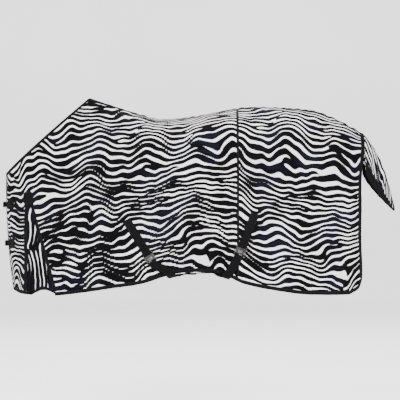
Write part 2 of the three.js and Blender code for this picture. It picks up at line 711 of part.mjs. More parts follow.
/** Plate that the hook catches in, with a round bar for the anchor strap. */
function slotPlate() {
  const half = PLATE_WIDTH / 2;
  const slotHalf = half - RAIL;
  const plate = solidOf(slottedPlate(
    [PLATE_BAR - BAR_R, PLATE_FOOT, half],
    [[...PLATE_SLOT, slotHalf], [...HOOK_SLOT, HOOK_SLOT_WIDTH / 2]],
    -PLATE_THICK / 2,
    PLATE_THICK,
  ));
  const barRoom = solidOf(block([PLATE_BAR - 2 * BAR_R, -slotHalf, -PLATE_THICK],
    [PLATE_SLOT[0] + GAP, slotHalf, PLATE_THICK]));
  const bar = solidOf(crossBar(PLATE_BAR, PLATE_WIDTH - RAIL));
  return geometryOf(plate.subtract(barRoom).add(bar));
}

/** Hook with a ring for the belly strap, a raised neck and a lip that drops in the slot. */
function surcingleHook() {
  const half = PLATE_WIDTH / 2;
  const slotHalf = half - RAIL;
  const neckLow = PLATE_THICK / 2 + HOOK_RISE;
  const ring = solidOf(slottedPlate([HOOK_HEEL, HOOK_BAR + BAR_R, half],
    [[...HOOK_RING_SLOT, slotHalf]], -PLATE_THICK / 2, PLATE_THICK));
  const barRoom = solidOf(block([HOOK_RING_SLOT[1] - GAP, -slotHalf, -PLATE_THICK],
    [HOOK_BAR + 2 * BAR_R, slotHalf, PLATE_THICK]));
  const bar = solidOf(crossBar(HOOK_BAR, PLATE_WIDTH - RAIL));
  const width = HOOK_WIDTH / 2;
  const riserEnd = HOOK_HEEL + PLATE_THICK;
  const neck = solidOf(block([HOOK_LIP[0], -width, neckLow],
    [riserEnd, width, neckLow + PLATE_THICK]));
  const lip = solidOf(block([HOOK_LIP[0], -width, -PLATE_THICK / 2],
    [HOOK_LIP[1], width, neckLow + GAP]));
  const riser = solidOf(block([HOOK_HEEL, -width, -PLATE_THICK / 2],
    [riserEnd, width, neckLow + GAP]));
  return geometryOf(ring.subtract(barRoom).add(bar).add(neck).add(lip).add(riser));
}

/** Ribbon of webbing along a path of places, each with the direction across it. */
function ribbon(path, width, thick) {
  return shell(path.length, 2, (c, r, layer) => {
    const { place, across } = path[c];
    const before = path[Math.max(c - 1, 0)].place;
    const after = path[Math.min(c + 1, path.length - 1)].place;
    const along = after.clone().sub(before).normalize();
    const out = across.clone().cross(along).normalize();
    return place.clone()
      .addScaledVector(across, (r - 0.5) * width)
      .addScaledVector(out, (layer - 0.5) * thick);
  });
}

/** Places round a bar, from the outer ply to the inner ply, bulging away from the strap. */
function roundBar(frame, barAlong, awaySign, radius) {
  const places = [];
  const steps = 6;
  for (let i = 0; i <= steps; i += 1) {
    const turn = Math.PI / 2 - (Math.PI * i) / steps;
    const along = barAlong - awaySign * radius * Math.cos(turn);
    const place = inFrame(frame, along, 0, radius * Math.sin(turn));
    places.push({ place, across: frame.across });
  }
  return places;
}

/** Smooth path through [place, normal] pairs, with the direction across it at each place. */
function smoothPath(controls, steps, turned = 1) {
  const places = new THREE.CatmullRomCurve3(controls.map(([place]) => place), false, 'centripetal');
  const normals = new THREE.CatmullRomCurve3(controls.map(([, normal]) => normal));
  const path = [];
  for (let i = 0; i <= steps; i += 1) {
    const t = i / steps;
    const along = places.getTangent(t);
    const across = normals.getPoint(t).cross(along).normalize();
    const out = along.clone().cross(across).normalize();
    path.push({ place: places.getPoint(t), across: across.multiplyScalar(turned), out });
  }
  return path;
}

/** Control points along a straight line in side view, on the cloth. */
function onCloth(side, from, to, count, offsetFrom, offsetTo) {
  const controls = [];
  for (let i = 0; i < count; i += 1) {
    const t = i / (count - 1);
    const x = THREE.MathUtils.lerp(from[0], to[0], t);
    const z = THREE.MathUtils.lerp(from[1], to[1], t);
    const offset = THREE.MathUtils.lerp(offsetFrom, offsetTo, t);
    const { s, v } = placeOnSide(x, z);
    const place = skin(s, v, side, offset);
    controls.push([place, skin(s, v, side, offset + 1).sub(place)]);
  }
  return controls;
}

// Cross surcingles: places in side view, tied to the back, the hem and the barrel
const PLATE_SHARES = { front: 0.222, rear: 0.5513 }; // of the back length, from the withers
const PLATE_OVER_HEM = { front: 199, rear: 235 };
const ANCHOR_REACH = { front: [-114, 185], rear: [72, 183] }; // slot plate to the strap's top
const BELLY_LEAN = { front: 161, rear: -123 }; // slot plate to where the strap leaves the hem
const HEM_LEAN = { front: 96, rear: -60 }; // slot plate to where the strap passes the hem
const BELLY_HALF = 0.547 * BARREL_HALF;
const BELLY_Z = { front: 105 - HEM_DEPTH, rear: 112 - HEM_DEPTH };
const PLATE_PLACES = {};
const ANCHOR_TOPS = {};
const BELLY_ENDS = {};
const HEM_PASSES = {};
for (const end of ['front', 'rear']) {
  const x = WITHERS_X + PLATE_SHARES[end] * BACK_LENGTH;
  const z = PLATE_OVER_HEM[end] - HEM_DEPTH;
  const [ahead, above] = ANCHOR_REACH[end];
  PLATE_PLACES[end] = [x, z];
  ANCHOR_TOPS[end] = [x + ahead, z + above];
  BELLY_ENDS[end] = x + BELLY_LEAN[end];
  HEM_PASSES[end] = x + HEM_LEAN[end];
}
const ADJUSTER_HALF = 14;
const ADJUSTER_BAR = 4;
const ADJUSTER_SHARE = 0.27; // of the belly strap's straight run, from its near end
const PLY_TAIL = 30; // free end of the anchor strap's folded ply
const WEBBING_SLANT = 0.05; // rise of a strap's corner where it crosses the hem, a share of its width
const BINDING_SLANT = 0.12; // the same for the binding under it

/** Near anchor strap, folded round the slot plate's bar. */
function nearAnchor(frame, top) {
  const strapOffset = CLOTH + STRAP_GAP + WEBBING_THICK / 2;
  const outer = [];
  for (const along of [PLATE_BAR - PLY_TAIL, PLATE_BAR - 12, PLATE_BAR - 4]) {
    const out = along < PLATE_BAR - 5 ? PLY_PITCH - LOOP_R : LOOP_R;
    outer.push({ place: inFrame(frame, along, 0, out), across: frame.across });
  }
  const inner = [-4, -12, -PLY_TAIL].map((along) => (
    { place: inFrame(frame, PLATE_BAR + along, 0, -LOOP_R), across: frame.across }));
  const start = inFrame(frame, PLATE_BAR - PLY_TAIL - 10, 0, -LOOP_R);
  const onPanel = onCloth(NEAR, [start.x, start.z], top, 6, strapOffset, strapOffset);
  const up = smoothPath(onPanel, 10, -1);
  const fold = roundBar(frame, PLATE_BAR, -1, LOOP_R);
  return ribbon([...outer, ...fold, ...inner, ...up], WEBBING, WEBBING_THICK);
}

// Room for a wide strap to cross the folded hem at a slant
const hemRoom = WEBBING_SLANT * WEBBING + BINDING_SLANT * BINDING_WIDTH;

/** Control point of a belly strap just under the hem. */
function underHem(end, side) {
  const x = THREE.MathUtils.lerp(HEM_PASSES[end], BELLY_ENDS[end], 0.4);
  const place = undersidePoint(stationOf(x), 1);
  place.z -= LAY_GAP + TAPE + STRAP_GAP + 2 * WEBBING_THICK + hemRoom;
  place.y = side * (place.y + 2 * WEBBING_THICK);
  return [place, new THREE.Vector3(0, 0.6 * side, -0.8)];
}

/** Path of a belly strap from its hook to its sewn end on the off side. */
function bellyPath(frame, from, to) {
  const strapOffset = CLOTH + STRAP_GAP + WEBBING_THICK / 2;
  const overHem = ABOVE + TAPE + 2 * STRAP_GAP + WEBBING_THICK;
  const hemAt = (x) => undersidePoint(stationOf(x), 1).z;
  const down = new THREE.Vector3(0, 0, -1);
  const controls = [];
  const leave = inFrame(frame, HOOK_BAR + 16, 0, -LOOP_R);
  controls.push([leave, frame.out.clone()]);
  const nearHem = [HEM_PASSES[from], hemAt(HEM_PASSES[from]) + BINDING_WIDTH];
  const lifted = overHem + hemRoom / 2;
  controls.push(...onCloth(NEAR, nearHem, nearHem, 2, lifted, lifted).slice(0, 1));
  controls.push(underHem(from, NEAR));
  const line = [];
  const count = 6;
  for (let i = 0; i <= count; i += 1) {
    const t = i / count;
    const x = THREE.MathUtils.lerp(BELLY_ENDS[from], BELLY_ENDS[to], t);
    const y = THREE.MathUtils.lerp(-BELLY_HALF, BELLY_HALF, t);
    line.push([new THREE.Vector3(x, y, BELLY_Z[from]), down]);
  }
  controls.push(...line, underHem(to, OFF));
  const offHem = [HEM_PASSES[to], hemAt(HEM_PASSES[to]) + BINDING_WIDTH];
  controls.push(...onCloth(OFF, offHem, PLATE_PLACES[to], 4, lifted, overHem));
  controls.push(...onCloth(OFF, PLATE_PLACES[to], ANCHOR_TOPS[to], 5, overHem, strapOffset).slice(1));
  return smoothPath(controls, 72);
}

/** Belly strap, folded round the hook's bar, its outer ply ending under the adjuster. */
function bellyStrap(frame, path, adjuster) {
  const outer = [];
  for (const { place, across, out } of path) {
    if (place.y < adjuster.origin.y) {
      outer.unshift({ place: place.clone().addScaledVector(out, PLY_PITCH), across });
    }
  }
  const turned = { place: inFrame(frame, HOOK_BAR + 5, 0, LOOP_R), across: frame.across };
  const inner = { place: inFrame(frame, HOOK_BAR + 5, 0, -LOOP_R), across: frame.across };
  const fold = roundBar(frame, HOOK_BAR, 1, LOOP_R);
  return ribbon([...outer, turned, ...fold, inner, ...path], WEBBING, WEBBING_THICK);
}

/** Frame of the adjuster on a belly strap: along the strap, with its out direction down. */
function adjusterFrame(from, to) {
  const t = ADJUSTER_SHARE;
  const origin = new THREE.Vector3(
    THREE.MathUtils.lerp(BELLY_ENDS[from], BELLY_ENDS[to], t),
    THREE.MathUtils.lerp(-BELLY_HALF, BELLY_HALF, t),
    BELLY_Z[from],
  );
  const along = new THREE.Vector3(BELLY_ENDS[to] - BELLY_ENDS[from], 2 * BELLY_HALF, 0).normalize();
  const out = new THREE.Vector3(0, 0, -1);
  return { origin, along, across: out.clone().cross(along), out };
}

/** Three-bar adjuster: two bars outside the plies, one inside, joined by side rails. */
function adjusterSlide() {
  const half = PLATE_WIDTH / 2;
  const inside = -WEBBING_THICK / 2 - BAR_GAP;
  const outside = WEBBING_THICK / 2 + PLY_PITCH + BAR_GAP;
  let slide = solidOf(block([-ADJUSTER_BAR / 2, -half, inside - PLATE_THICK],
    [ADJUSTER_BAR / 2, half, inside]));
  for (const end of [-1, 1]) {
    const bar = end * (ADJUSTER_HALF - ADJUSTER_BAR / 2);
    slide = slide.add(solidOf(block([bar - ADJUSTER_BAR / 2, -half, outside],
      [bar + ADJUSTER_BAR / 2, half, outside + PLATE_THICK])));
    const railLow = end > 0 ? half - RAIL : -half;
    slide = slide.add(solidOf(block([-ADJUSTER_HALF, railLow, inside - PLATE_THICK],
      [ADJUSTER_HALF, railLow + RAIL, outside + PLATE_THICK])));
  }
  return geometryOf(slide);
}

for (const [from, to] of [['front', 'rear'], ['rear', 'front']]) {
  const [plateX, plateZ] = PLATE_PLACES[from];
  const [topX, topZ] = ANCHOR_TOPS[from];
  const frame = sideFrame(plateX, plateZ, plateX - topX, plateZ - topZ);
  const adjuster = adjusterFrame(from, to);
  add(`${from}_anchor_strap`, nearAnchor(frame, [topX, topZ]), blackWebbing);
  add(`${from}_slot_plate`, placeInFrame(slotPlate(), frame), darkMetal);
  add(`${from}_surcingle_hook`, placeInFrame(surcingleHook(), frame), darkMetal);
  add(`${from}_belly_strap`, bellyStrap(frame, bellyPath(frame, from, to), adjuster), blackWebbing);
  add(`${from}_adjuster`, placeInFrame(adjusterSlide(), adjuster), darkMetal);
}

// Chest buckles, in frames with along towards the near side and out towards the front
const BUCKLE_BAR_R = 1.9;
const BUCKLE_THICK = 3.5;
const BUCKLE_REACH = 24; // heel bar to the outside of the front bar
const BUCKLE_RAIL = 3.5;
const CHAPE_R = BUCKLE_BAR_R + BAR_GAP + CHEST_STRAP_THICK / 2;
const CHEST_PITCH = CHEST_STRAP_THICK + GAP;
const TONGUE_WIDTH = 3.6;
const TONGUE_ROOM = 6; // width of the slots that the tongue swings through
const TONGUE_THICK = 2;
const KEEPER_AT = 25;
const KEEPER_LENGTH = 8;
const KEEPER_WALL = 2;
const CHAPE_STRAIGHT = 46;
const BILLET_TIP = 62;
const BUCKLE_STANDS_OFF = 9.3; // front of the cloth to the heel bar's middle
const PATCH_STATIONS = { first: 0.15, last: 0.3 };
const SEWN_STATIONS = [0.18, 0.21, 0.245, 0.28];
const CHEST_PATCH_HEIGHT = 52;

/** Frame of a chest buckle, at the middle of its heel bar. */
function chestFrame(z) {
  const nose = undersidePoint(0, rowAt(0, z));
  return {
    origin: new THREE.Vector3(nose.x - BUCKLE_STANDS_OFF, 0, z),
    along: new THREE.Vector3(0, -1, 0),
    across: new THREE.Vector3(0, 0, 1),
    out: new THREE.Vector3(-1, 0, 0),
  };
}

/** Places of a sewn strap end on a chest patch, from the centre outwards. */
function sewnEnd(z, side) {
  const offset = ABOVE + TAPE + GAP + CHEST_STRAP_THICK;
  const at = (s, height) => skin(s, rowAt(s, height), side, offset);
  const half = CHEST_STRAP / 2;
  return SEWN_STATIONS.map((s) => (
    { place: at(s, z), across: at(s, z + half).sub(at(s, z - half)).normalize() }));
}

/** Buckle frame with a round heel bar. */
function buckleFrame() {
  const inside = CHEST_STRAP / 2 + 1;
  const outside = inside + BUCKLE_RAIL;
  const plate = solidOf(slottedPlate([-BUCKLE_REACH, BUCKLE_BAR_R, outside],
    [[BUCKLE_RAIL - BUCKLE_REACH, -BUCKLE_BAR_R, inside]], -BUCKLE_THICK / 2, BUCKLE_THICK));
  const barRoom = solidOf(block([-BUCKLE_BAR_R - GAP, -inside, -BUCKLE_THICK],
    [2 * BUCKLE_BAR_R, inside, BUCKLE_THICK]));
  const bar = new THREE.CylinderGeometry(BUCKLE_BAR_R, BUCKLE_BAR_R, 2 * outside - GAP, 12);
  return geometryOf(plate.subtract(barRoom).add(solidOf(bar)));
}

/** Tongue: an eye round the heel bar and an arm that rests on the front bar. */
function buckleTongue() {
  const half = TONGUE_WIDTH / 2;
  const outer = BUCKLE_BAR_R + BAR_GAP + TONGUE_THICK;
  const tube = (radius, length) => new THREE.CylinderGeometry(radius, radius, length, 20);
  const eye = solidOf(tube(outer, TONGUE_WIDTH));
  const restAt = BUCKLE_THICK / 2 + BAR_GAP;
  const side = new THREE.Shape();
  side.moveTo(-BUCKLE_REACH, restAt);
  side.lineTo(-BUCKLE_BAR_R, BUCKLE_BAR_R / 2);
  side.lineTo(0, BUCKLE_BAR_R + BAR_GAP);
  side.lineTo(-BUCKLE_BAR_R, outer - GAP);
  side.lineTo(-BUCKLE_REACH, restAt + TONGUE_THICK);
  side.closePath();
  const arm = new THREE.ExtrudeGeometry(side, { depth: TONGUE_WIDTH, bevelEnabled: false });
  arm.translate(0, 0, -half).rotateX(Math.PI / 2);
  const bore = solidOf(tube(BUCKLE_BAR_R + BAR_GAP, 2 * TONGUE_WIDTH));
  return geometryOf(eye.add(solidOf(arm)).subtract(bore));
}

/** Cuts the tongue's slot through a strap that lies in a buckle's frame. */
function withTongueSlot(strap, frame, from, to) {
  const room = TONGUE_ROOM / 2;
  const slot = placeInFrame(block([from, -room, -4 * CHAPE_R], [to, room, 4 * CHAPE_R]), frame);
  return geometryOf(solidOf(strap).subtract(solidOf(slot)));
}

/** Chape: folded round the heel bar and sewn to the near patch. */
function chape(frame, z) {
  const inner = CHAPE_R - CHEST_PITCH;
  const at = (along, out) => ({ place: inFrame(frame, along, 0, out), across: frame.across });
  const outerPly = [at(CHAPE_STRAIGHT, CHAPE_R), at(12, CHAPE_R), at(3, CHAPE_R)];
  const innerPly = [at(3, -CHAPE_R), at(12, inner), at(CHAPE_STRAIGHT, inner)];
  const fold = roundBar(frame, 0, 1, CHAPE_R);
  const path = [...outerPly, ...fold, ...innerPly, ...sewnEnd(z, NEAR)];
  const strap = ribbon(path, CHEST_STRAP, CHEST_STRAP_THICK);
  return withTongueSlot(strap, frame, -2 * CHAPE_R, 6);
}

/** Billet: sewn to the off patch, through the buckle and on through the keeper. */
function billet(frame, z) {
  const under = -BUCKLE_THICK / 2 - BAR_GAP - CHEST_STRAP_THICK;
  const over = CHAPE_R + CHEST_PITCH;
  const at = (along, out) => ({ place: inFrame(frame, along, 0, out), across: frame.across });
  const path = [
    ...sewnEnd(z, OFF).reverse(),
    at(-38, under), at(-BUCKLE_REACH + 2, under), at(-15, under + 2.4), at(-6, over - 1),
    at(0, over), at(8, over), at(BILLET_TIP, over),
  ];
  const strap = ribbon(path, CHEST_STRAP, CHEST_STRAP_THICK);
  return withTongueSlot(strap, frame, 3 - BUCKLE_REACH, 5.5);
}

/** Keeper: a loop round the chape's two plies and the billet. */
function keeper() {
  const low = CHAPE_R - CHEST_PITCH - CHEST_STRAP_THICK / 2 - GAP;
  const high = CHAPE_R + CHEST_PITCH + CHEST_STRAP_THICK / 2 + GAP;
  const inside = CHEST_STRAP / 2 + GAP;
  const first = KEEPER_AT - KEEPER_LENGTH / 2;
  const last = KEEPER_AT + KEEPER_LENGTH / 2;
  const wall = KEEPER_WALL;
  const body = solidOf(block([first, -inside - wall, low - wall], [last, inside + wall, high + wall]));
  return geometryOf(body.subtract(solidOf(block([first - 1, -inside, low], [last + 1, inside, high]))));
}

/** Backing patch under a sewn strap end. */
function chestPatch(z, side) {
  const { first, last } = PATCH_STATIONS;
  const columns = 7;
  const rows = 5;
  return shell(columns, rows, (c, r, layer) => {
    const s = THREE.MathUtils.lerp(first, last, c / (columns - 1));
    const height = z + (r / (rows - 1) - 0.5) * CHEST_PATCH_HEIGHT;
    return skin(s, rowAt(s, height), side, ABOVE + layer * TAPE);
  });
}

const upperStrapZ = topLine(0) - NECK_FALL - UPPER_STRAP_BELOW_NECK;
for (const [word, z] of [['upper', upperStrapZ], ['lower', upperStrapZ - CHEST_STRAP_PITCH]]) {
  const frame = chestFrame(z);
  add(`${word}_chest_patch_near`, chestPatch(z, NEAR), blackTape);
  add(`${word}_chest_patch_off`, chestPatch(z, OFF), blackTape);
  add(`${word}_chest_chape`, chape(frame, z), blackWebbing);
  add(`${word}_chest_billet`, billet(frame, z), blackWebbing);
  add(`${word}_buckle_frame`, placeInFrame(buckleFrame(), frame), darkMetal);
  add(`${word}_buckle_tongue`, placeInFrame(buckleTongue(), frame), darkMetal);
  add(`${word}_strap_keeper`, placeInFrame(keeper(), frame), blackPlastic);
}

export default group;
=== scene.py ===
"""Horse fly sheet: zebra-printed cloth, black bindings, chest buckles and cross surcingles.

Metres. +X runs from head to tail, +Z is up, and the near (left) side is -Y. The origin is the
underside of the sheet on the spine, at the dip of the back.
"""

import json
import logging
import math
from dataclasses import dataclass, field
from enum import Enum

import bmesh
import bpy
import numpy as np
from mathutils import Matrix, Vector

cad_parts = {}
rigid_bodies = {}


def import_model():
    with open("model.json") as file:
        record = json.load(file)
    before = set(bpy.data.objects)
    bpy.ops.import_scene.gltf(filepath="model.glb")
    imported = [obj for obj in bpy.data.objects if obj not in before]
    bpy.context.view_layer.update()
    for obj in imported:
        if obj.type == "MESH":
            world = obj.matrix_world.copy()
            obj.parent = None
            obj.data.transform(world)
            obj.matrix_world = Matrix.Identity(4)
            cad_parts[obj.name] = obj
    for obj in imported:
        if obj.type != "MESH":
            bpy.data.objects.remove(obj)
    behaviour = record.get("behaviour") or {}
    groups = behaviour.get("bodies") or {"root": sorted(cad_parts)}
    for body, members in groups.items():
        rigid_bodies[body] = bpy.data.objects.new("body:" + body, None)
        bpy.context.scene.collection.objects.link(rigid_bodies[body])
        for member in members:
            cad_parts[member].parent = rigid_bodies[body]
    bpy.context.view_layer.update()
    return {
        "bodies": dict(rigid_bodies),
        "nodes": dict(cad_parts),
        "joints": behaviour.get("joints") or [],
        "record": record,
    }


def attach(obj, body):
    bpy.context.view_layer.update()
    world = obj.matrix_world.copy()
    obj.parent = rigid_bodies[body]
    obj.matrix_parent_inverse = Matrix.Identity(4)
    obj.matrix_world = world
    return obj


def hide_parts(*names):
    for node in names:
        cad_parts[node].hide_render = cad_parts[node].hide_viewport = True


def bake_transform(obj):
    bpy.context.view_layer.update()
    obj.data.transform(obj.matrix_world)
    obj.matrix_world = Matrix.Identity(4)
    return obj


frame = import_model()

log = logging.getLogger("fly_sheet")
Array = np.ndarray
Piece = bpy.types.Object
Material = bpy.types.Material
Tree = bpy.types.NodeTree
Node = bpy.types.Node
Socket = bpy.types.NodeSocket
MM = 0.001
BINDING_WIDTH = 0.018


class Side(Enum):
    """The two sides of the horse, with the sign of Y on each."""

    NEAR = -1
    OFF = 1

    @property
    def word(self) -> str:
        """Lower-case name used in piece names."""
        return self.name.lower()


class Slot(Enum):
    """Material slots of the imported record."""

    CLOTH = "printed_cloth"
    BINDING = "binding"
    WEBBING = "webbing"
    HARDWARE = "hardware"
    KEEPER = "keeper_plastic"


# ---------------------------------------------------------------- small mathematics


def smoothstep(x: Array, low: float, high: float) -> Array:
    """Smooth ramp from 0 at low to 1 at high."""
    t = np.clip((np.asarray(x, float) - low) / (high - low), 0.0, 1.0)
    return t * t * (3 - 2 * t)


def lerp(a: Array, b: Array, t: Array) -> Array:
    """Straight-line mix of a and b."""
    return a + (b - a) * t


def unit(vectors: Array) -> Array:
    """Vectors scaled to length one along the last axis."""
    return vectors / np.maximum(np.linalg.norm(vectors, axis=-1, keepdims=True), 1e-12)


def arc_lengths(points: Array) -> Array:
    """Distance along a polyline at each of its points."""
    steps = np.linalg.norm(np.diff(points, axis=0), axis=1)
    return np.concatenate([[0.0], np.cumsum(steps)])


class SmoothCurve:
    """Cubic curve y(x) through a short list of points."""

    def __init__(self, *points: tuple[float, float]) -> None:
        self.x, self.y = np.array(points, float).T
        before = np.maximum(np.arange(len(self.x)) - 1, 0)
        after = np.minimum(np.arange(len(self.x)) + 1, len(self.x) - 1)
        self.slope = (self.y[after] - self.y[before]) / (self.x[after] - self.x[before])

    def __call__(self, x: Array) -> Array:
        """Heights of the curve at x."""
        x = np.asarray(x, float)
        i = np.clip(np.searchsorted(self.x, x, "left") - 1, 0, len(self.x) - 2)
        span = self.x[i + 1] - self.x[i]
        t = (x - self.x[i]) / span
        rise = (2 * t - 3) * t * t
        bend = t * (t - 1) * ((t - 1) * self.slope[i] + t * self.slope[i + 1]) * span
        return (1 + rise) * self.y[i] - rise * self.y[i + 1] + bend


@dataclass(frozen=True)
class Ripple:
    """Smooth seeded noise in the plane, a sum of sine waves of nearly one wavelength."""

    seed: int
    length: float
    lean: float = 0.0
    spread: float = math.pi
    waves: int = 9

    def __call__(self, x: Array, y: Array) -> Array:
        """Noise of unit variance at the places (x, y)."""
        rng = np.random.default_rng(self.seed)
        total = np.zeros(np.broadcast(x, y).shape)
        for _ in range(self.waves):
            turn = self.lean + self.spread * rng.uniform(-1, 1)
            number = 2 * math.pi / (self.length * rng.uniform(0.75, 1.35))
            phase = rng.uniform(0, 2 * math.pi)
            total += np.sin(number * (x * math.cos(turn) + y * math.sin(turn)) + phase)
        return total * math.sqrt(2 / self.waves)


# ---------------------------------------------------------------- the hanging form


@dataclass(frozen=True)
class SheetForm:
    """Form of the sheet as it hangs on a horse, the same on both sides.

    The curves run over the share of the back length from the withers to the dock. The chest is
    ahead of the withers, at negative shares.
    """

    back_length: float = 1.424
    back_ahead: float = 0.372
    chest_ahead: float = 0.430
    neck_fall: float = 0.395
    hem_depth: float = 0.903
    barrel_half: float = 0.320
    neck_half: float = 0.115
    neck_flare: float = 0.35
    neck_fullness: float = 0.8
    chest_tuck: float = 0.092
    rear_corner: float = 0.088
    rear_nip: float = 0.022
    centre_gap: float = 0.0002
    flank_seam: float = 0.54
    front_edge: float = 0.05
    underlap_off: float = 0.12
    underlap_near: float = 0.3
    top_line: SmoothCurve = SmoothCurve(
        (0, 0.111), (0.1, 0.063), (0.178, 0.028), (0.261, 0), (0.402, 0.018), (0.542, 0.057),
        (0.626, 0.062), (0.809, 0.046), (0.893, 0.005), (1, -0.075),
    )
    hem_rise: SmoothCurve = SmoothCurve(
        (-0.30197, 0.022), (-0.256, 0.005), (-0.118, 0), (0.098, 0.039), (0.205, 0.062),
        (0.268, 0.093), (0.323, 0.112), (0.395, 0.119), (0.465, 0.114), (0.507, 0.096),
        (0.556, 0.062), (0.654, 0.032), (0.784, 0.007), (1, 0.006),
    )
    hem_half: SmoothCurve = SmoothCurve(
        (-0.30197, 0.82), (0, 0.82), (0.19, 0.89), (0.39, 0.73), (0.56, 0.87), (0.72, 0.91),
        (0.93, 0.85), (0.965, 0.78), (1, 0.62),
    )
    back_reach: SmoothCurve = SmoothCurve(
        (-0.30197, 0.52), (0, 0.52), (0.19, 0.81), (0.39, 0.94), (0.61, 0.8), (0.86, 0.67),
        (1, 0.39),
    )
    back_fall: SmoothCurve = SmoothCurve(
        (-0.30197, 0.2), (0, 0.2), (0.19, 0.085), (0.39, 0.05), (0.61, 0.06), (0.86, 0.08),
        (1, 0.085),
    )
    side_bulge: SmoothCurve = SmoothCurve(
        (-0.30197, 0.19), (0, 0.19), (0.19, 0.22), (0.39, 0.34), (0.61, 0.14), (0.86, 0.08),
        (1, 0.03),
    )
    side_lift: SmoothCurve = SmoothCurve(
        (-0.30197, 0.44), (0, 0.55), (0.19, 0.62), (0.39, 0.64), (0.61, 0.52), (0.86, 0.45),
        (1, 0.55),
    )

    @property
    def withers_x(self) -> float:
        """Place of the withers peak."""
        return -self.back_ahead

    @property
    def dock_x(self) -> float:
        """Place of the dock."""
        return self.back_length - self.back_ahead

    @property
    def chest_x(self) -> float:
        """Place of the front of the chest."""
        return -self.back_ahead - self.chest_ahead

    @property
    def rear_end(self) -> float:
        """Station of the rear edge."""
        return 2 - 0.0006 / self.back_length

    @property
    def seam_x(self) -> float:
        """Place of the flank seam."""
        return self.withers_x + self.flank_seam * self.back_length

    def station(self, s: Array) -> tuple[Array, Array, Array]:
        """Place along the body, share of the width and half width of the neck at station s."""
        s = np.asarray(s, float)
        turn = np.pi / 2 * np.minimum(s, 1)
        ahead = s < 1
        x = np.where(
            ahead,
            self.withers_x - self.chest_ahead * np.cos(turn),
            self.withers_x + (s - 1) * self.back_length,
        )
        plan = np.where(ahead, np.sin(turn), 1.0)
        neck = np.where(ahead, np.sin(np.pi * s) * (1 + self.neck_fullness * s), 0.0)
        return x, plan, self.neck_half * neck

    def underside(self, s: Array, v: Array) -> Array:
        """Points of the cloth's underside on the off side, v = 0 at the top and 1 at the hem."""
        s, v = np.broadcast_arrays(np.asarray(s, float), np.asarray(v, float))
        x, plan, neck = self.station(s)
        share = (x - self.withers_x) / self.back_length
        at_neck = self.top_line(0) - self.neck_fall * (self.withers_x - x) / self.chest_ahead
        top = np.where(s < 1, at_neck, self.top_line(share))
        radius = self.rear_corner
        past = np.clip(x - (self.dock_x - radius), 0, radius)
        corner = radius - np.sqrt(radius * radius - past * past)
        hem = self.hem_rise(share) + corner - self.hem_depth
        depth = top - hem
        hem_y = self.barrel_half * self.hem_half(share) * plan
        upper_y = self.barrel_half * self.back_reach(share) * plan + self.neck_flare * neck
        lower_y = hem_y + self.barrel_half * self.side_bulge(share) * plan
        upper_z = top - self.back_fall(share) * depth
        lower_z = hem + self.side_lift(share) * depth
        u = 1 - v
        weights = (u * u * u, 3 * u * u * v, 3 * u * v * v, v * v * v)
        y = sum(w * c for w, c in zip(weights, (neck, upper_y, lower_y, hem_y)))
        z = sum(w * c for w, c in zip(weights, (top, upper_z, lower_z, hem)))
        tuck = np.where(s < 1, self.chest_tuck * (self.withers_x - x) * v ** 3, 0)
        tail = smoothstep(x, self.dock_x - 2 * radius, self.dock_x)
        nip = self.rear_nip * tail * smoothstep(v, 0.2, 0.6)
        return np.stack([x + tuck - nip, y + self.centre_gap, z], axis=-1)

    def normal(self, s: Array, v: Array) -> Array:
        """Directions out of the cloth on the off side."""
        step = 1e-4
        s = np.asarray(s, float)
        along = self.underside(s + step, v) - self.underside(np.maximum(s - step, 0), v)
        down = self.underside(s, v + step) - self.underside(s, v - step)
        return unit(np.cross(along, down))

    def drop(self, s: Array, v: Array) -> Array:
        """Metres of cloth for each unit of v."""
        step = 1e-3
        gap = self.underside(s, v + step) - self.underside(s, v)
        return np.linalg.norm(gap, axis=-1) / step

    def run(self, s: Array, v: Array) -> Array:
        """Metres of cloth for each unit of s."""
        step = 1e-3
        gap = self.underside(s + step, v) - self.underside(s, v)
        return np.linalg.norm(gap, axis=-1) / step

    def depth(self, s: Array) -> Array:
        """Length of cloth from the top edge to the hem at each station."""
        rows = self.underside(np.asarray(s, float)[..., None], np.linspace(0, 1, 25))
        return np.linalg.norm(np.diff(rows, axis=-2), axis=-1).sum(axis=-1)

    def station_of(self, x: Array) -> Array:
        """Station whose unshifted place along the body is x."""
        x = np.asarray(x, float)
        ahead = np.clip((self.withers_x - x) / self.chest_ahead, 0, 1)
        behind = 1 + (x - self.withers_x) / self.back_length
        return np.where(x >= self.withers_x, behind, np.arccos(ahead) / (np.pi / 2))

    def row_at(self, s: Array, z: Array) -> Array:
        """Row of the cloth at a station and a height."""
        s, z = np.broadcast_arrays(np.asarray(s, float), np.asarray(z, float))
        low, high = np.zeros(s.shape), np.full(s.shape, 1.1)
        for _ in range(30):
            middle = (low + high) / 2
            above = self.underside(s, middle)[..., 2] > z
            low, high = np.where(above, middle, low), np.where(above, high, middle)
        return low

    def place_on_side(self, x: Array, z: Array) -> tuple[Array, Array]:
        """Station and row of the cloth at a place in side view."""
        x = np.asarray(x, float)
        s = self.station_of(x)
        v = np.zeros(s.shape)
        for _ in range(6):
            v = self.row_at(s, z)
            s = self.station_of(x - self.underside(s, v)[..., 0] + self.station(s)[0])
        return s, v


@dataclass(frozen=True)
class SurcinglePlaces:
    """Side-view places of the cross surcingles: front and rear of the pair."""

    tops: dict = field(default_factory=lambda: {"front": (-0.170, -0.519), "rear": (0.485, -0.485)})
    plates: dict = field(
        default_factory=lambda: {"front": (-0.056, -0.704), "rear": (0.413, -0.668)}
    )
    belly_ends: dict = field(default_factory=lambda: {"front": 0.105, "rear": 0.290})
    hem_passes: dict = field(default_factory=lambda: {"front": 0.0401, "rear": 0.3531})
    belly_z: dict = field(default_factory=lambda: {"front": -0.798, "rear": -0.791})
    belly_half: float = 0.175


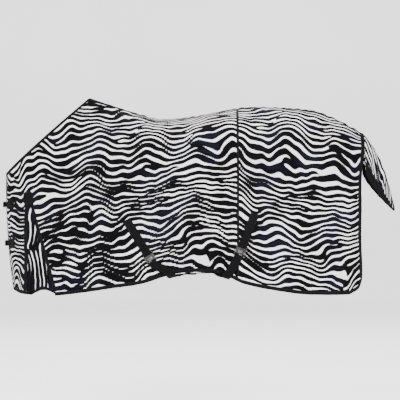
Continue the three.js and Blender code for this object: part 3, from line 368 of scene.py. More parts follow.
@dataclass(frozen=True)
class Folds:
    """Folds, puckers and gathers of the cloth, as heights out of the smooth form."""

    form: SheetForm
    places: SurcinglePlaces
    broad: float = 2.6 * MM
    gather: float = 5.5 * MM
    pucker: float = 1.5 * MM
    seam_reach: float = 0.032
    strap_clear: float = 0.022
    strap_reach: float = 0.075

    def from_straps(self, x: Array, z: Array) -> Array:
        """Distance in side view to the nearest strap that lies on the cloth."""
        nearest = np.full(np.shape(x), 9.0)
        for end in ("front", "rear"):
            foot = (self.places.hem_passes[end], -0.80)
            for a, b in ((self.places.tops[end], self.places.plates[end]),
                         (self.places.plates[end], foot)):
                step = np.subtract(b, a)
                t = ((x - a[0]) * step[0] + (z - a[1]) * step[1]) / (step @ step)
                t = np.clip(t, 0, 1)
                away = np.hypot(x - a[0] - t * step[0], z - a[1] - t * step[1])
                nearest = np.minimum(nearest, away)
        return nearest

    def __call__(self, s: Array, v: Array, side: Side) -> Array:
        """Heights of the folds at stations s and rows v."""
        form = self.form
        point = form.underside(s, v)
        x, z = point[..., 0], point[..., 2]
        depth = form.drop(s, 0.5)
        down = v * depth
        up = (1 - v) * depth
        seed = 40 if side is Side.NEAR else 60

        low_half = smoothstep(v, 0.15, 0.75)
        soft = self.broad * Ripple(seed, 0.42)(x, z) * (0.35 + 0.65 * low_half)
        hang = 0.8 * self.broad * low_half * Ripple(seed + 1, 0.17, 0.0, 0.35)(x, z)
        body = (soft + hang) * smoothstep(down, 0, 0.09)

        total = body
        spine = np.exp(-down / 0.045) * smoothstep(s, 1.02, 1.08)
        total = total + self.pucker * spine * Ripple(31, 0.045, 0.0, 0.25)(x, 0 * z)

        from_seam = np.abs(x - form.seam_x)
        seam = np.exp(-from_seam / self.seam_reach) * smoothstep(down, 0.02, 0.08)
        total = total + self.pucker * seam * Ripple(seed + 2, 0.05, np.pi / 2, 0.3)(x, z)
        total = total - 1.2 * self.pucker * np.exp(-((from_seam / 0.006) ** 2))

        behind = form.dock_x - form.rear_nip - x
        edge = np.exp(-((behind - 0.055) / 0.042) ** 2) * smoothstep(down, 0.05, 0.16)
        zigzag = Ripple(seed + 3, 0.052, 1.25, 0.3)(x, z)
        total = total + edge * (2.6 * MM * zigzag + 3.0 * MM) * smoothstep(up, 0.0, 0.14)

        hem = np.exp(-up / 0.045) * smoothstep(s, 0.72, 0.9)
        total = total + self.pucker * hem * Ripple(seed + 4, 0.06, 0.0, 0.3)(x, z)

        between = smoothstep(x, -0.06, 0.04) * (1 - smoothstep(x, 0.33, 0.45))
        drawn = between * smoothstep(v, 0.70, 0.95)
        gathers = Ripple(seed + 5, 0.062, 0.35, 0.5)(x, z)
        total = total + 0.8 * self.gather * drawn * gathers

        for end, away in (("front", 1), ("rear", -1)):
            from_x, from_z = x - self.places.plates[end][0], z - self.places.plates[end][1]
            reach = np.hypot(from_x, from_z)
            turn = np.arctan2(from_z, from_x * away)
            window = smoothstep(reach, 0.03, 0.08) * np.exp(-((reach / 0.15) ** 2))
            inward = 0.45 + 0.55 * np.cos(turn)
            rays = np.sin(9 * turn + 7 * reach / 0.15 + seed)
            total = total + self.gather * window * inward * rays

        chest = smoothstep(s, 0.22, 0.36) * (1 - smoothstep(s, 0.55, 0.72))
        low = smoothstep(v, 0.25, 0.5)
        total = total + 1.8 * MM * chest * low * Ripple(seed + 6, 0.06, 1.4, 0.45)(x, z)

        total = total * smoothstep(self.from_straps(x, z), self.strap_clear, self.strap_reach)
        return total * smoothstep(s, 0.17, 0.33)


class Skin:
    """The cloth's surface on both sides, with or without its folds."""

    def __init__(self, form: SheetForm, folds: Folds) -> None:
        self.form = form
        self.folds = folds

    def __call__(self, s: Array, v: Array, side: Side, offset: Array, folded: bool = True) -> Array:
        """Points at an offset outside the cloth's underside.

        Args:
            s: stations along the sheet.
            v: rows, from the top edge to the hem.
            side: near or off.
            offset: distance out of the underside.
            folded: whether the folds are included.

        Returns:
            (..., 3) points.
        """
        s, v = np.broadcast_arrays(np.asarray(s, float), np.asarray(v, float))
        height = offset + (self.folds(s, v, side) if folded else 0.0)
        point = self.form.underside(s, v) + self.form.normal(s, v) * np.asarray(height)[..., None]
        point[..., 1] *= side.value
        return point


# ---------------------------------------------------------------- the print


@dataclass(frozen=True)
class StripePrint:
    """Zebra print: wavy stripes that fork, taper and run together, made from seeded noise."""

    seed: int = 7
    period: float = 0.0375
    spread: float = 0.26
    band: float = 0.28
    passes: int = 4
    crisp: float = 1.6
    sway: float = 0.024
    taper: float = 0.18
    balance: float = -0.36
    cell: float = 0.003
    wide: int = 1024
    tall: int = 512

    def __post_init__(self) -> None:
        rng = np.random.default_rng(self.seed)
        ky = np.fft.fftfreq(self.tall, self.cell)[:, None]
        kx = np.fft.rfftfreq(self.wide, self.cell)[None, :]
        number = np.hypot(kx, ky) + 1e-9
        lean = np.arctan2(np.abs(kx), np.abs(ky))
        middle = 1 / self.period
        keep = np.exp(-(((number - middle) / (self.band * middle)) ** 2) / 2)
        keep *= np.exp(-((lean / self.spread) ** 2) / 2)

        def filtered(image: Array, gains: Array) -> Array:
            return np.fft.irfft2(np.fft.rfft2(image) * gains, s=image.shape)

        def soft(across: float, down: float) -> Array:
            noise = rng.standard_normal((self.tall, self.wide))
            image = filtered(noise, np.exp(-1.2 * ((kx * across) ** 2 + (ky * down) ** 2)))
            return image / image.std()

        stripes = rng.standard_normal((self.tall, self.wide))
        for i in range(self.passes):
            stripes = filtered(stripes, keep)
            gain = 2.4 if i < self.passes - 1 else self.crisp
            stripes = np.tanh(gain * stripes / stripes.std())
        images = {
            "stripes": filtered(stripes, np.exp(-((number / (1.75 * middle)) ** 4))),
            "long": soft(0.15, 0.36),
            "short": soft(0.06, 0.12),
            "slide": soft(0.20, 0.25),
            "weight": soft(0.12, 0.06),
            "taper": soft(0.10, 0.03),
        }
        object.__setattr__(self, "images", images)

    def sample(self, name: str, x: Array, y: Array) -> Array:
        """Smoothly sampled value of one noise image, which repeats at its edges."""
        image = self.images[name]
        across, down = x / self.cell, y / self.cell
        i, j = np.floor(across).astype(int), np.floor(down).astype(int)
        u, w = across - i, down - j
        i0, i1, j0, j1 = i % self.wide, (i + 1) % self.wide, j % self.tall, (j + 1) % self.tall
        upper = image[j0, i0] * (1 - u) + image[j0, i1] * u
        lower = image[j1, i0] * (1 - u) + image[j1, i1] * u
        return upper * (1 - w) + lower * w

    def __call__(self, x: Array, y: Array) -> Array:
        """Tone of the print, above 0 where it is white, at flat cloth places."""
        sway = self.sway * self.sample("long", x, y) + 0.004 * self.sample("short", x, y)
        slide = 0.02 * self.sample("slide", x, y)
        tone = self.sample("stripes", x + slide, y + sway)
        swell = self.taper * self.sample("taper", x + slide, y + sway)
        return tone + swell + 0.12 * self.sample("weight", x, y) + self.balance


# Depth on the flat cloth against depth in the print: wide stripes on the barrel, fine below
PRINT_DEPTH = SmoothCurve(
    (0, 0), (0.12, 0.13), (0.28, 0.295), (0.42, 0.40), (0.52, 0.475), (0.62, 0.585), (0.8, 0.84),
    (1.1, 1.28),
)


# ---------------------------------------------------------------- meshes


def linked(name: str, data: bpy.types.ID) -> Piece:
    """A new object in the scene, at the origin."""
    item = bpy.data.objects.new(name, data)
    bpy.context.scene.collection.objects.link(item)
    return item


def mesh_object(name: str, points: Array, faces: Array) -> Piece:
    """A smooth mesh object at the origin.

    Args:
        name: name of the piece.
        points: (n, 3) places.
        faces: (m, 4) point numbers.

    Returns:
        The object.
    """
    mesh = bpy.data.meshes.new(name)
    mesh.vertices.add(len(points))
    mesh.vertices.foreach_set("co", np.asarray(points, np.float32).ravel())
    mesh.loops.add(faces.size)
    mesh.loops.foreach_set("vertex_index", faces.ravel().astype(np.int32))
    mesh.polygons.add(len(faces))
    mesh.polygons.foreach_set("loop_start", np.arange(0, faces.size, 4, np.int32))
    mesh.polygons.foreach_set("use_smooth", np.full(len(faces), True))
    mesh.update(calc_edges=True)
    mesh.validate()
    return linked(name, mesh)


def applied(item: Piece) -> bpy.types.Mesh:
    """Mesh of an object with its modifiers applied; the object is deleted."""
    bpy.context.view_layer.update()
    graph = bpy.context.evaluated_depsgraph_get()
    mesh = bpy.data.meshes.new_from_object(item.evaluated_get(graph))
    bpy.data.objects.remove(item)
    return mesh


def enclosed_volume(points: Array, quads: Array) -> float:
    """Signed volume inside a closed set of quads."""
    a, b, c, d = (points[quads[:, i]] for i in range(4))
    first = np.einsum("ij,ij->i", a, np.cross(b, c)).sum()
    return float(first + np.einsum("ij,ij->i", a, np.cross(c, d)).sum()) / 6


def grid_quads(index: Array) -> Array:
    """Quads between the neighbours of a grid of point numbers."""
    corners = (index[:-1, :-1], index[1:, :-1], index[1:, 1:], index[:-1, 1:])
    return np.stack(corners, axis=-1).reshape(-1, 4)


def whole_grid(shape: tuple) -> Array:
    """Quads of a whole grid of points."""
    return grid_quads(np.arange(shape[0] * shape[1]).reshape(shape[:2]))


def set_uv(piece: Piece, places: Array, name: str = "flat") -> None:
    """Writes flat places in metres, one for each point, as the piece's UV map."""
    mesh = piece.data
    layer = mesh.uv_layers.new(name=name)
    corner = np.zeros(len(mesh.loops), np.int32)
    mesh.loops.foreach_get("vertex_index", corner)
    layer.data.foreach_set("uv", np.asarray(places, np.float32)[corner].ravel())


def set_tone(piece: Piece, values: Array) -> None:
    """Writes the print's tone on the piece's points."""
    layer = piece.data.attributes.new("tone", "FLOAT", "POINT")
    layer.data.foreach_set("value", np.asarray(values, np.float32).ravel())


def closed_shell(
    name: str, outer: Array, inner: Array, quads: Array, flat: Array, tone: Array | None = None
) -> Piece:
    """Closed thin shell between two layers that share one set of quads.

    Args:
        name: name of the piece.
        outer: (n, 3) points of the outer layer.
        inner: (n, 3) points of the inner layer.
        quads: (m, 4) point numbers; open edges get a rim.
        flat: (n, 2) flat places for the UV map.
        tone: (n,) tone of the print, or None.

    Returns:
        The object.
    """
    used = np.unique(quads)
    renumber = np.full(len(outer), -1)
    renumber[used] = np.arange(len(used))
    quads, outer, inner, flat = renumber[quads], outer[used], inner[used], flat[used]
    count = len(outer)
    edges = np.concatenate([quads[:, [i, (i + 1) % 4]] for i in range(4)])
    key, back = edges[:, 0] * count + edges[:, 1], edges[:, 1] * count + edges[:, 0]
    rim = edges[~np.isin(key, back)]
    sides = np.stack([rim[:, 1], rim[:, 0], rim[:, 0] + count, rim[:, 1] + count], axis=1)
    faces = np.concatenate([quads, quads[:, ::-1] + count, sides])
    points = np.concatenate([outer, inner])
    if enclosed_volume(points, faces) < 0:
        faces = faces[:, ::-1]
    piece = mesh_object(name, points, faces)
    set_uv(piece, np.concatenate([flat, flat]))
    if tone is not None:
        set_tone(piece, np.concatenate([tone[used], tone[used]]))
    return piece


def grid_shell(name: str, outer: Array, inner: Array, flat: Array, tone: Array | None = None,
               quads: Array | None = None) -> Piece:
    """Closed shell from (columns, rows, 3) layers; quads defaults to the whole grid."""
    chosen = whole_grid(outer.shape) if quads is None else quads
    values = None if tone is None else tone.ravel()
    return closed_shell(
        name, outer.reshape(-1, 3), inner.reshape(-1, 3), chosen, flat.reshape(-1, 2), values
    )


def flat_area(points: Array, quads: Array) -> float:
    """Area of quads in space."""
    a, b, c, d = (points[quads[:, i]] for i in range(4))
    return float(np.linalg.norm(np.cross(c - a, d - b), axis=1).sum() / 2)


# ---------------------------------------------------------------- node helpers


class Nodes:
    """Short way to add and join nodes in a shader or geometry tree."""

    def __init__(self, tree: Tree) -> None:
        self.tree = tree

    def add(self, kind: str, inputs: dict | None = None, **settings: object) -> Node:
        """Adds a node, sets its properties and fills or joins its inputs."""
        node = self.tree.nodes.new(kind)
        for key, value in settings.items():
            setattr(node, key, value)
        return self.fill(node, inputs or {})

    def fill(self, node: Node, inputs: dict) -> Node:
        """Joins sockets to a node's inputs and writes plain values into them."""
        for key, value in inputs.items():
            if isinstance(value, Socket):
                self.tree.links.new(value, node.inputs[key])
            else:
                node.inputs[key].default_value = value
        return node

    def place(self) -> Socket:
        """Place on the object, in metres."""
        return self.add("ShaderNodeTexCoord").outputs["Object"]

    def group(self, tree: Tree, inputs: dict) -> Node:
        """Places a shared effect with its own values."""
        return self.add("ShaderNodeGroup", inputs, node_tree=tree)

    def math(self, operation: str, a: object, b: object = 0.0, c: object = 0.0) -> Socket:
        """Result of a math node."""
        inputs = {0: a, 1: b, 2: c}
        return self.add("ShaderNodeMath", inputs, operation=operation).outputs[0]

    def mix(self, factor: object, a: object, b: object, blend: str = "MIX") -> Socket:
        """Colour mix of a and b."""
        node = self.add("ShaderNodeMix", data_type="RGBA", blend_type=blend)
        return self.fill(node, {0: factor, 6: a, 7: b}).outputs[2]

    def ramp(self, value: object, low: float, high: float, a: float = 0, b: float = 1) -> Socket:
        """Smooth ramp of a value from a at low to b at high."""
        inputs = {"Value": value, "From Min": low, "From Max": high, "To Min": a, "To Max": b}
        return self.add("ShaderNodeMapRange", inputs, interpolation_type="SMOOTHSTEP").outputs[0]

    def noise(self, vector: Socket, scale: object, detail: float = 3.0, rough: float = 0.55) -> Socket:
        """Noise value at a vector."""
        inputs = {"Vector": vector, "Scale": scale, "Detail": detail, "Roughness": rough}
        return self.add("ShaderNodeTexNoise", inputs).outputs[0]


def new_group(name: str, inputs: dict, *outputs: str) -> tuple[Nodes, dict, Node]:
    """A shader node group: its nodes, its input sockets and its output node."""
    tree = bpy.data.node_groups.new(name, "ShaderNodeTree")
    for label, value in inputs.items():
        kind = "Vector" if value is None else "Color" if isinstance(value, tuple) else "Float"
        socket = tree.interface.new_socket(
            name=label, in_out="INPUT", socket_type=f"NodeSocket{kind}"
        )
        if value is not None:
            socket.default_value = value
    for label in outputs:
        kind = "Color" if label == "Color" else "Float"
        tree.interface.new_socket(name=label, in_out="OUTPUT", socket_type=f"NodeSocket{kind}")
    given = tree.nodes.new("NodeGroupInput").outputs
    return Nodes(tree), given, tree.nodes.new("NodeGroupOutput")


class Effects:
    """Shader node groups that several finishes share, built once each."""

    def __init__(self) -> None:
        self.weave = self._weave()
        self.ribs = self._ribs()
        self.rubbed = self._rubbed()
        self.dust = self._dust()

    def _weave(self) -> Tree:
        """Open plain weave on flat places: thread height and the holes between threads."""
        nodes, given, out = new_group(
            "plain_weave", {"Flat": None, "Pitch": 0.0012}, "Height", "Holes"
        )
        parts = nodes.add("ShaderNodeSeparateXYZ", {0: given["Flat"]})
        threads = []
        for axis in (0, 1):
            turn = nodes.math("DIVIDE", parts.outputs[axis], given["Pitch"])
            turn = nodes.math("MULTIPLY", turn, math.pi)
            threads.append(nodes.math("ABSOLUTE", nodes.math("SINE", turn)))
        high = nodes.math("MAXIMUM", threads[0], threads[1])
        both = nodes.math("MULTIPLY", threads[0], threads[1])
        height = nodes.math("MULTIPLY_ADD", both, 0.35, high)
        nodes.fill(out, {"Height": height, "Holes": nodes.ramp(high, 0.35, 0.7, 1, 0)})
        return nodes.tree

    def _ribs(self) -> Tree:
        """Chevron ribs of woven tape and webbing, u along the tape and v across it."""
        sizes = {"Flat": None, "Pitch": 0.0016, "Chevron": 0.0055, "Lean": 0.7}
        nodes, given, out = new_group("chevron_ribs", sizes, "Height")
        parts = nodes.add("ShaderNodeSeparateXYZ", {0: given["Flat"]})
        fold = nodes.math("PINGPONG", parts.outputs[1], given["Chevron"])
        along = nodes.math("MULTIPLY_ADD", fold, given["Lean"], parts.outputs[0])
        turn = nodes.math("DIVIDE", along, given["Pitch"])
        wave = nodes.math("SINE", nodes.math("MULTIPLY", turn, 2 * math.pi))
        valley = nodes.math("DIVIDE", fold, given["Chevron"])
        groove = nodes.ramp(nodes.math("ABSOLUTE", nodes.math("SUBTRACT", valley, 0.5)), 0.38, 0.5)
        height = nodes.math("MULTIPLY_ADD", wave, 0.5, 0.5)
        nodes.fill(out, {"Height": nodes.math("SUBTRACT", height, groove)})
        return nodes.tree

    def _rubbed(self) -> Tree:
        """Mask of the edges that handling rubs bright, broken up by noise."""
        nodes, given, out = new_group("rubbed_edges", {"Scale": 90.0, "Amount": 0.6}, "Mask")
        sharp = nodes.add("ShaderNodeNewGeometry").outputs["Pointiness"]
        spots = {"Vector": nodes.place(), "Scale": given["Scale"], "Detail": 5.0}
        broken = nodes.ramp(nodes.add("ShaderNodeTexNoise", spots).outputs[0], 0.38, 0.62)
        edge = nodes.math("MULTIPLY", nodes.ramp(sharp, 0.51, 0.58), broken)
        nodes.fill(out, {"Mask": nodes.math("MULTIPLY", edge, given["Amount"])})
        return nodes.tree

    def _dust(self) -> Tree:
        """Patchy dust and lint that dulls dark cloth and metal."""
        sizes = {"Color": (0.5, 0.5, 0.5, 1), "Dust": (0.3, 0.27, 0.24, 1), "Amount": 0.1}
        nodes, given, out = new_group("dust", sizes, "Color")
        place = nodes.place()
        wide = nodes.ramp(nodes.noise(place, 9.0, 5.0, 0.65), 0.35, 0.75)
        fine = nodes.ramp(nodes.noise(place, 420.0, 2.0), 0.4, 0.7)
        patch = nodes.math("MULTIPLY_ADD", fine, 0.5, nodes.math("MULTIPLY", wide, 0.5))
        mask = nodes.math("MULTIPLY", patch, given["Amount"])
        nodes.fill(out, {"Color": nodes.mix(mask, given["Color"], given["Dust"])})
        return nodes.tree


def new_material(name: str) -> tuple[Material, Nodes, Node]:
    """A material with its nodes and its Principled shader."""
    material = bpy.data.materials.new(name)
    material.use_nodes = True
    shader = material.node_tree.nodes["Principled BSDF"]
    return material, Nodes(material.node_tree), shader


def bumped(nodes: Nodes, shader: Node, *layers: tuple[object, float]) -> None:
    """Feeds the shader's normal from heights, each with the depth of its relief in metres."""
    under = None
    for height, depth in layers:
        inputs = {"Height": height, "Distance": depth, "Strength": 1.0}
        if under is not None:
            inputs["Normal"] = under
        under = nodes.add("ShaderNodeBump", inputs).outputs[0]
    nodes.fill(shader, {"Normal": under})


def coated(nodes: Nodes, shader: Node, dust: Tree, colour: Socket, amount: float,
           inputs: dict) -> None:
    """Gives the shader its dusted colour and its other inputs."""
    dusty = nodes.group(dust, {"Color": colour, "Amount": amount})
    nodes.fill(shader, {"Base Color": dusty.outputs["Color"], **inputs})


@dataclass(frozen=True)
class PrintedMesh:
    """Printed polyester mesh: white and blue-black, with a fine open weave."""

    white: tuple = (0.80, 0.775, 0.785, 1)
    cream: tuple = (0.70, 0.665, 0.655, 1)
    black: tuple = (0.0022, 0.0021, 0.0026, 1)
    navy: tuple = (0.0042, 0.0042, 0.0105, 1)
    pitch: float = 1.5 * MM
    crisp: float = 0.10

    def build(self, effects: Effects) -> Material:
        """The material, whose stripes follow the tone on the cloth's points."""
        material, nodes, shader = new_material("printed_mesh")
        tone = nodes.add("ShaderNodeAttribute", attribute_name="tone").outputs["Fac"]
        flat = nodes.add("ShaderNodeUVMap", uv_map="flat").outputs[0]
        frayed = nodes.noise(flat, 900.0, 2.0)
        tone = nodes.math("MULTIPLY_ADD", nodes.math("SUBTRACT", frayed, 0.5), 0.16, tone)
        printed = nodes.ramp(tone, 0.02, 2 * self.crisp)
        weave = nodes.group(effects.weave, {"Flat": flat, "Pitch": self.pitch})
        wide = nodes.noise(flat, 2.6, 4.0)
        pale = nodes.mix(nodes.ramp(wide, 0.40, 0.70), self.white, self.cream)
        speckled = nodes.ramp(nodes.noise(flat, 260.0, 3.0), 0.3, 0.7, 0.95, 1.03)
        pale = nodes.mix(1.0, pale, speckled, "MULTIPLY")
        solid = nodes.ramp(tone, -0.55, -0.95)
        blue = nodes.math("MULTIPLY", nodes.ramp(nodes.noise(flat, 3.7, 2.0), 0.47, 0.6), solid)
        dark = nodes.mix(blue, self.black, self.navy)
        colour = nodes.mix(printed, dark, pale)
        shade = nodes.math("MULTIPLY_ADD", weave.outputs["Holes"], -0.34, 1.0)
        colour = nodes.mix(1.0, colour, shade, "MULTIPLY")
        rough = nodes.ramp(printed, 0, 1, 0.70, 0.86)
        coated(nodes, shader, effects.dust, colour, 0.0015,
               {"Roughness": rough, "Specular IOR Level": 0.02})
        creases = nodes.noise(flat, 55.0, 4.0, 0.6)
        bumped(nodes, shader, (creases, 0.9 * MM), (weave.outputs["Height"], 0.16 * MM))
        return material


@dataclass(frozen=True)
class WovenTape:
    """Black woven tape or webbing: ribs, painted shade in the rib valleys, a soft sheen and rubbed,
    dusty high spots.
    """

    name: str
    colour: tuple = (0.0030, 0.0029, 0.0034, 1)
    worn: tuple = (0.014, 0.0135, 0.0145, 1)
    pitch: float = 1.5 * MM
    chevron: float = 6.0 * MM
    lean: float = 0.0
    relief: float = 0.18 * MM
    sheen: float = 0.008

    def build(self, effects: Effects) -> Material:
        """The material."""
        material, nodes, shader = new_material(self.name)
        flat = nodes.add("ShaderNodeUVMap", uv_map="flat").outputs[0]
        inputs = {"Flat": flat, "Pitch": self.pitch, "Chevron": self.chevron, "Lean": self.lean}
        ribs = nodes.group(effects.ribs, inputs).outputs["Height"]
        patchy = nodes.ramp(nodes.noise(flat, 24.0, 5.0, 0.65), 0.42, 0.72)
        high = nodes.math("MULTIPLY", nodes.ramp(ribs, 0.45, 0.95), patchy)
        colour = nodes.mix(nodes.math("MULTIPLY", high, 0.55), self.colour, self.worn)
        # Painted shade: the colour is darkened in the valleys between the ribs
        valley = nodes.ramp(ribs, -0.6, 0.5, 0.45, 1.0)
        colour = nodes.mix(1.0, colour, valley, "MULTIPLY")
        rough = nodes.ramp(ribs, 0, 1, 0.85, 0.66)
        coated(nodes, shader, effects.dust, colour, 0.003,
               {"Roughness": rough, "Sheen Weight": self.sheen, "Sheen Roughness": 0.45,
                "Specular IOR Level": 0.05})
        fibre = nodes.noise(flat, 1500.0, 2.0)
        bumped(nodes, shader, (ribs, self.relief), (fibre, 0.08 * MM))
        return material


@dataclass(frozen=True)
class CastMetal:
    """Dark nickel fittings: tumbled metal with fine scratches and bright rubbed edges."""

    colour: tuple = (0.050, 0.049, 0.048, 1)
    bright: tuple = (0.24, 0.235, 0.225, 1)

    def build(self, effects: Effects) -> Material:
        """The material."""
        material, nodes, shader = new_material("dark_nickel")
        place = nodes.place()
        mask = nodes.group(effects.rubbed, {"Scale": 140.0, "Amount": 0.8}).outputs[0]
        clouded = nodes.ramp(nodes.noise(place, 60.0, 6.0, 0.7), 0.3, 0.75, 0.72, 1.12)
        colour = nodes.mix(mask, self.colour, self.bright)
        colour = nodes.mix(1.0, colour, clouded, "MULTIPLY")
        smudged = nodes.ramp(nodes.noise(place, 35.0, 5.0, 0.6), 0.3, 0.7, 0.26, 0.44)
        coated(nodes, shader, effects.dust, colour, 0.03, {"Metallic": 1.0, "Roughness": smudged})
        stretched = nodes.add("ShaderNodeMapping", {"Vector": place, "Scale": (120, 900, 900)})
        scratches = nodes.noise(stretched.outputs[0], 1.0, 3.0)
        pits = nodes.noise(place, 700.0, 3.0)
        bumped(nodes, shader, (pits, 0.07 * MM), (scratches, 0.03 * MM))
        return material


@dataclass(frozen=True)
class MouldedPlastic:
    """Moulded black nylon with a fine spark texture and greyed, rubbed edges."""

    colour: tuple = (0.012, 0.012, 0.013, 1)
    greyed: tuple = (0.09, 0.09, 0.09, 1)

    def build(self, effects: Effects) -> Material:
        """The material."""
        material, nodes, shader = new_material("moulded_nylon")
        place = nodes.place()
        mask = nodes.group(effects.rubbed, {"Scale": 200.0, "Amount": 0.5}).outputs[0]
        colour = nodes.mix(mask, self.colour, self.greyed)
        rough = nodes.ramp(nodes.noise(place, 90.0, 4.0), 0.3, 0.7, 0.42, 0.58)
        coated(nodes, shader, effects.dust, colour, 0.02, {"Roughness": rough})
        bumped(nodes, shader, (nodes.noise(place, 1100.0, 2.0), 0.06 * MM))
        return material


@dataclass(frozen=True)
class SewingThread:
    """Bonded black thread, a little glossier and greyer than the tape it holds."""

    colour: tuple = (0.013, 0.013, 0.015, 1)
    sheen: float = 0.03

    def build(self, effects: Effects) -> Material:
        """The material."""
        material, nodes, shader = new_material("bonded_thread")
        place = nodes.place()
        twist = nodes.noise(place, 1900.0, 2.0)
        light = nodes.ramp(twist, 0.3, 0.7, 0.6, 1.5)
        colour = nodes.mix(1.0, self.colour, light, "MULTIPLY")
        coated(nodes, shader, effects.dust, colour, 0.01,
               {"Roughness": 0.5, "Specular IOR Level": 0.15, "Sheen Weight": self.sheen})
        bumped(nodes, shader, (twist, 0.1 * MM))
        return material


class Finishes:
    """Every finish of the sheet with its slot, by the piece that takes it."""

    def __init__(self) -> None:
        effects = Effects()
        binding = WovenTape("grosgrain_binding", pitch=1.3 * MM, relief=0.14 * MM)
        webbing = WovenTape(
            "chevron_webbing", pitch=2.1 * MM, chevron=5.6 * MM, lean=0.75, relief=0.30 * MM,
            colour=(0.0026, 0.0025, 0.0030, 1), worn=(0.012, 0.0115, 0.0125, 1),
        )
        patch = WovenTape(
            "patch_canvas", pitch=1.1 * MM, chevron=1.1 * MM, lean=1.0, relief=0.16 * MM
        )
        self.cloth = (PrintedMesh().build(effects), Slot.CLOTH)
        self.binding = (binding.build(effects), Slot.BINDING)
        self.webbing = (webbing.build(effects), Slot.WEBBING)
        self.patch = (patch.build(effects), Slot.BINDING)
        self.metal = (CastMetal().build(effects), Slot.HARDWARE)
        self.plastic = (MouldedPlastic().build(effects), Slot.KEEPER)
        self.thread = SewingThread().build(effects)


# ---------------------------------------------------------------- workshop


class FlatPattern:
    """Flat cloth places of the sheet: distance along the body and depth down the cloth."""

    def __init__(self, form: SheetForm) -> None:
        self.form = form
        self.stations = np.linspace(0, 2, 241)
        self.depths = form.depth(self.stations)
        self.depth_at_withers = float(np.interp(1.0, self.stations, self.depths))
        chest = form.underside(np.linspace(0, 1, 60), 0.6)
        self.chest_run = float(arc_lengths(chest)[-1])

    def __call__(self, s: Array, v: Array) -> Array:
        """(..., 2) flat places in metres, measured from the spine, or up from the hem ahead."""
        s, v = np.broadcast_arrays(s, v)
        run = np.where(s < 1, self.chest_run, self.form.back_length)
        share = np.interp(s, self.stations, self.depths) / self.depth_at_withers
        share = np.where(s < 1, np.minimum(share, 1), 1)
        return np.stack([(s - 1) * run, self.depth_at_withers * (1 - (1 - v) * share)], axis=-1)


@dataclass
class Workshop:
    """What every sub-assembly works with: the form, the surface, the print and the finishes."""

    form: SheetForm = field(default_factory=SheetForm)
    places: SurcinglePlaces = field(default_factory=SurcinglePlaces)
    print_main: StripePrint = field(default_factory=StripePrint)
    print_gusset: StripePrint = field(
        default_factory=lambda: StripePrint(
            seed=21, period=0.038, spread=0.26, sway=0.014, balance=-0.60, wide=512, tall=256
        )
    )
    print_flap: StripePrint = field(
        default_factory=lambda: StripePrint(
            seed=33, period=0.036, spread=0.24, sway=0.012, balance=-0.30, wide=512, tall=256
        )
    )

    def __post_init__(self) -> None:
        self.folds = Folds(self.form, self.places)
        self.skin = Skin(self.form, self.folds)
        self.flat = FlatPattern(self.form)
        self.finishes = Finishes()

    def dress(self, piece: Piece, finish: tuple[Material, Slot], *nodes: str,
              body: str | None = "sheet") -> Piece:
        """Gives a piece its finish and its body, and hides the nodes that it stands for."""
        material, slot = finish
        piece.data.materials.append(material)
        if body is not None:
            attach(piece, body)
        if nodes:
            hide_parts(*nodes)
        log.info("%s: %d faces", piece.name, len(piece.data.polygons))
        return piece


@dataclass(frozen=True)
class ClothLayers:
    """Offsets of the sewn layers out of the cloth's underside."""

    cloth_low: float = 1.2 * MM
    cloth_high: float = 2.0 * MM
    tape_low: float = 2.15 * MM
    tape_high: float = 3.1 * MM
    patch_low: float = 3.2 * MM
    patch_high: float = 4.4 * MM
    thread: float = 3.28 * MM


LAYERS = ClothLayers()
STITCH_RISE = 0.12 * MM
EDGE_PRESS = 0.45 * MM


@dataclass
class SheetCloth:
    """A cloth piece with the size it was cut to."""

    piece: Piece
    flat: tuple[float, float]
    area: float
    rests_on: list = field(default_factory=list)
    trims: list = field(default_factory=list)


@dataclass
class Gusset:
    """Side view of the slit and the gusset let into it."""

    form: SheetForm
    apex_behind_chest: float = 0.127
    apex_over_hem: float = 0.506
    front_at_hem: float = 0.118
    rear_at_hem: float = 0.268
    hem_arch: float = 0.030
    patch_width: float = 0.058
    patch_height: float = 0.070

    @property
    def apex(self) -> tuple[float, float]:
        """Place of the slit's top."""
        form = self.form
        return form.chest_x + self.apex_behind_chest, self.apex_over_hem - form.hem_depth

    @property
    def front_foot(self) -> float:
        """Place of the front edge at the hem."""
        return self.form.chest_x + self.front_at_hem

    @property
    def rear_foot(self) -> float:
        """Place of the rear edge at the hem."""
        return self.form.chest_x + self.rear_at_hem

    def edge_station(self, v: Array, foot: float, shift: float = 0.0) -> Array:
        """Stations of a slit edge at rows v; above the apex, of one line for both edges."""
        apex_x, apex_z = self.apex
        middle = (self.front_foot + self.rear_foot) / 2
        s = np.full(np.shape(v), float(self.form.station_of(apex_x)))
        for _ in range(9):
            point = self.form.underside(s, v)
            below = apex_z - point[..., 2]
            target = np.where(below > 0, foot, middle)
            line = apex_x + (target - apex_x) * below / self.apex_over_hem
            line = line + shift * np.where(below > 0, 1.0, 0.0)
            s = self.form.station_of(line - point[..., 0] + self.form.station(s)[0])
        return s

    def arched(self, s: Array) -> Array:
        """Row of the gusset's arched hem."""
        x = self.form.station(s)[0]
        t = np.clip((x - self.front_foot) / (self.rear_foot - self.front_foot), 0, 1)
        return 1 - self.hem_arch * np.sin(np.pi * t) / self.form.drop(s, 1)


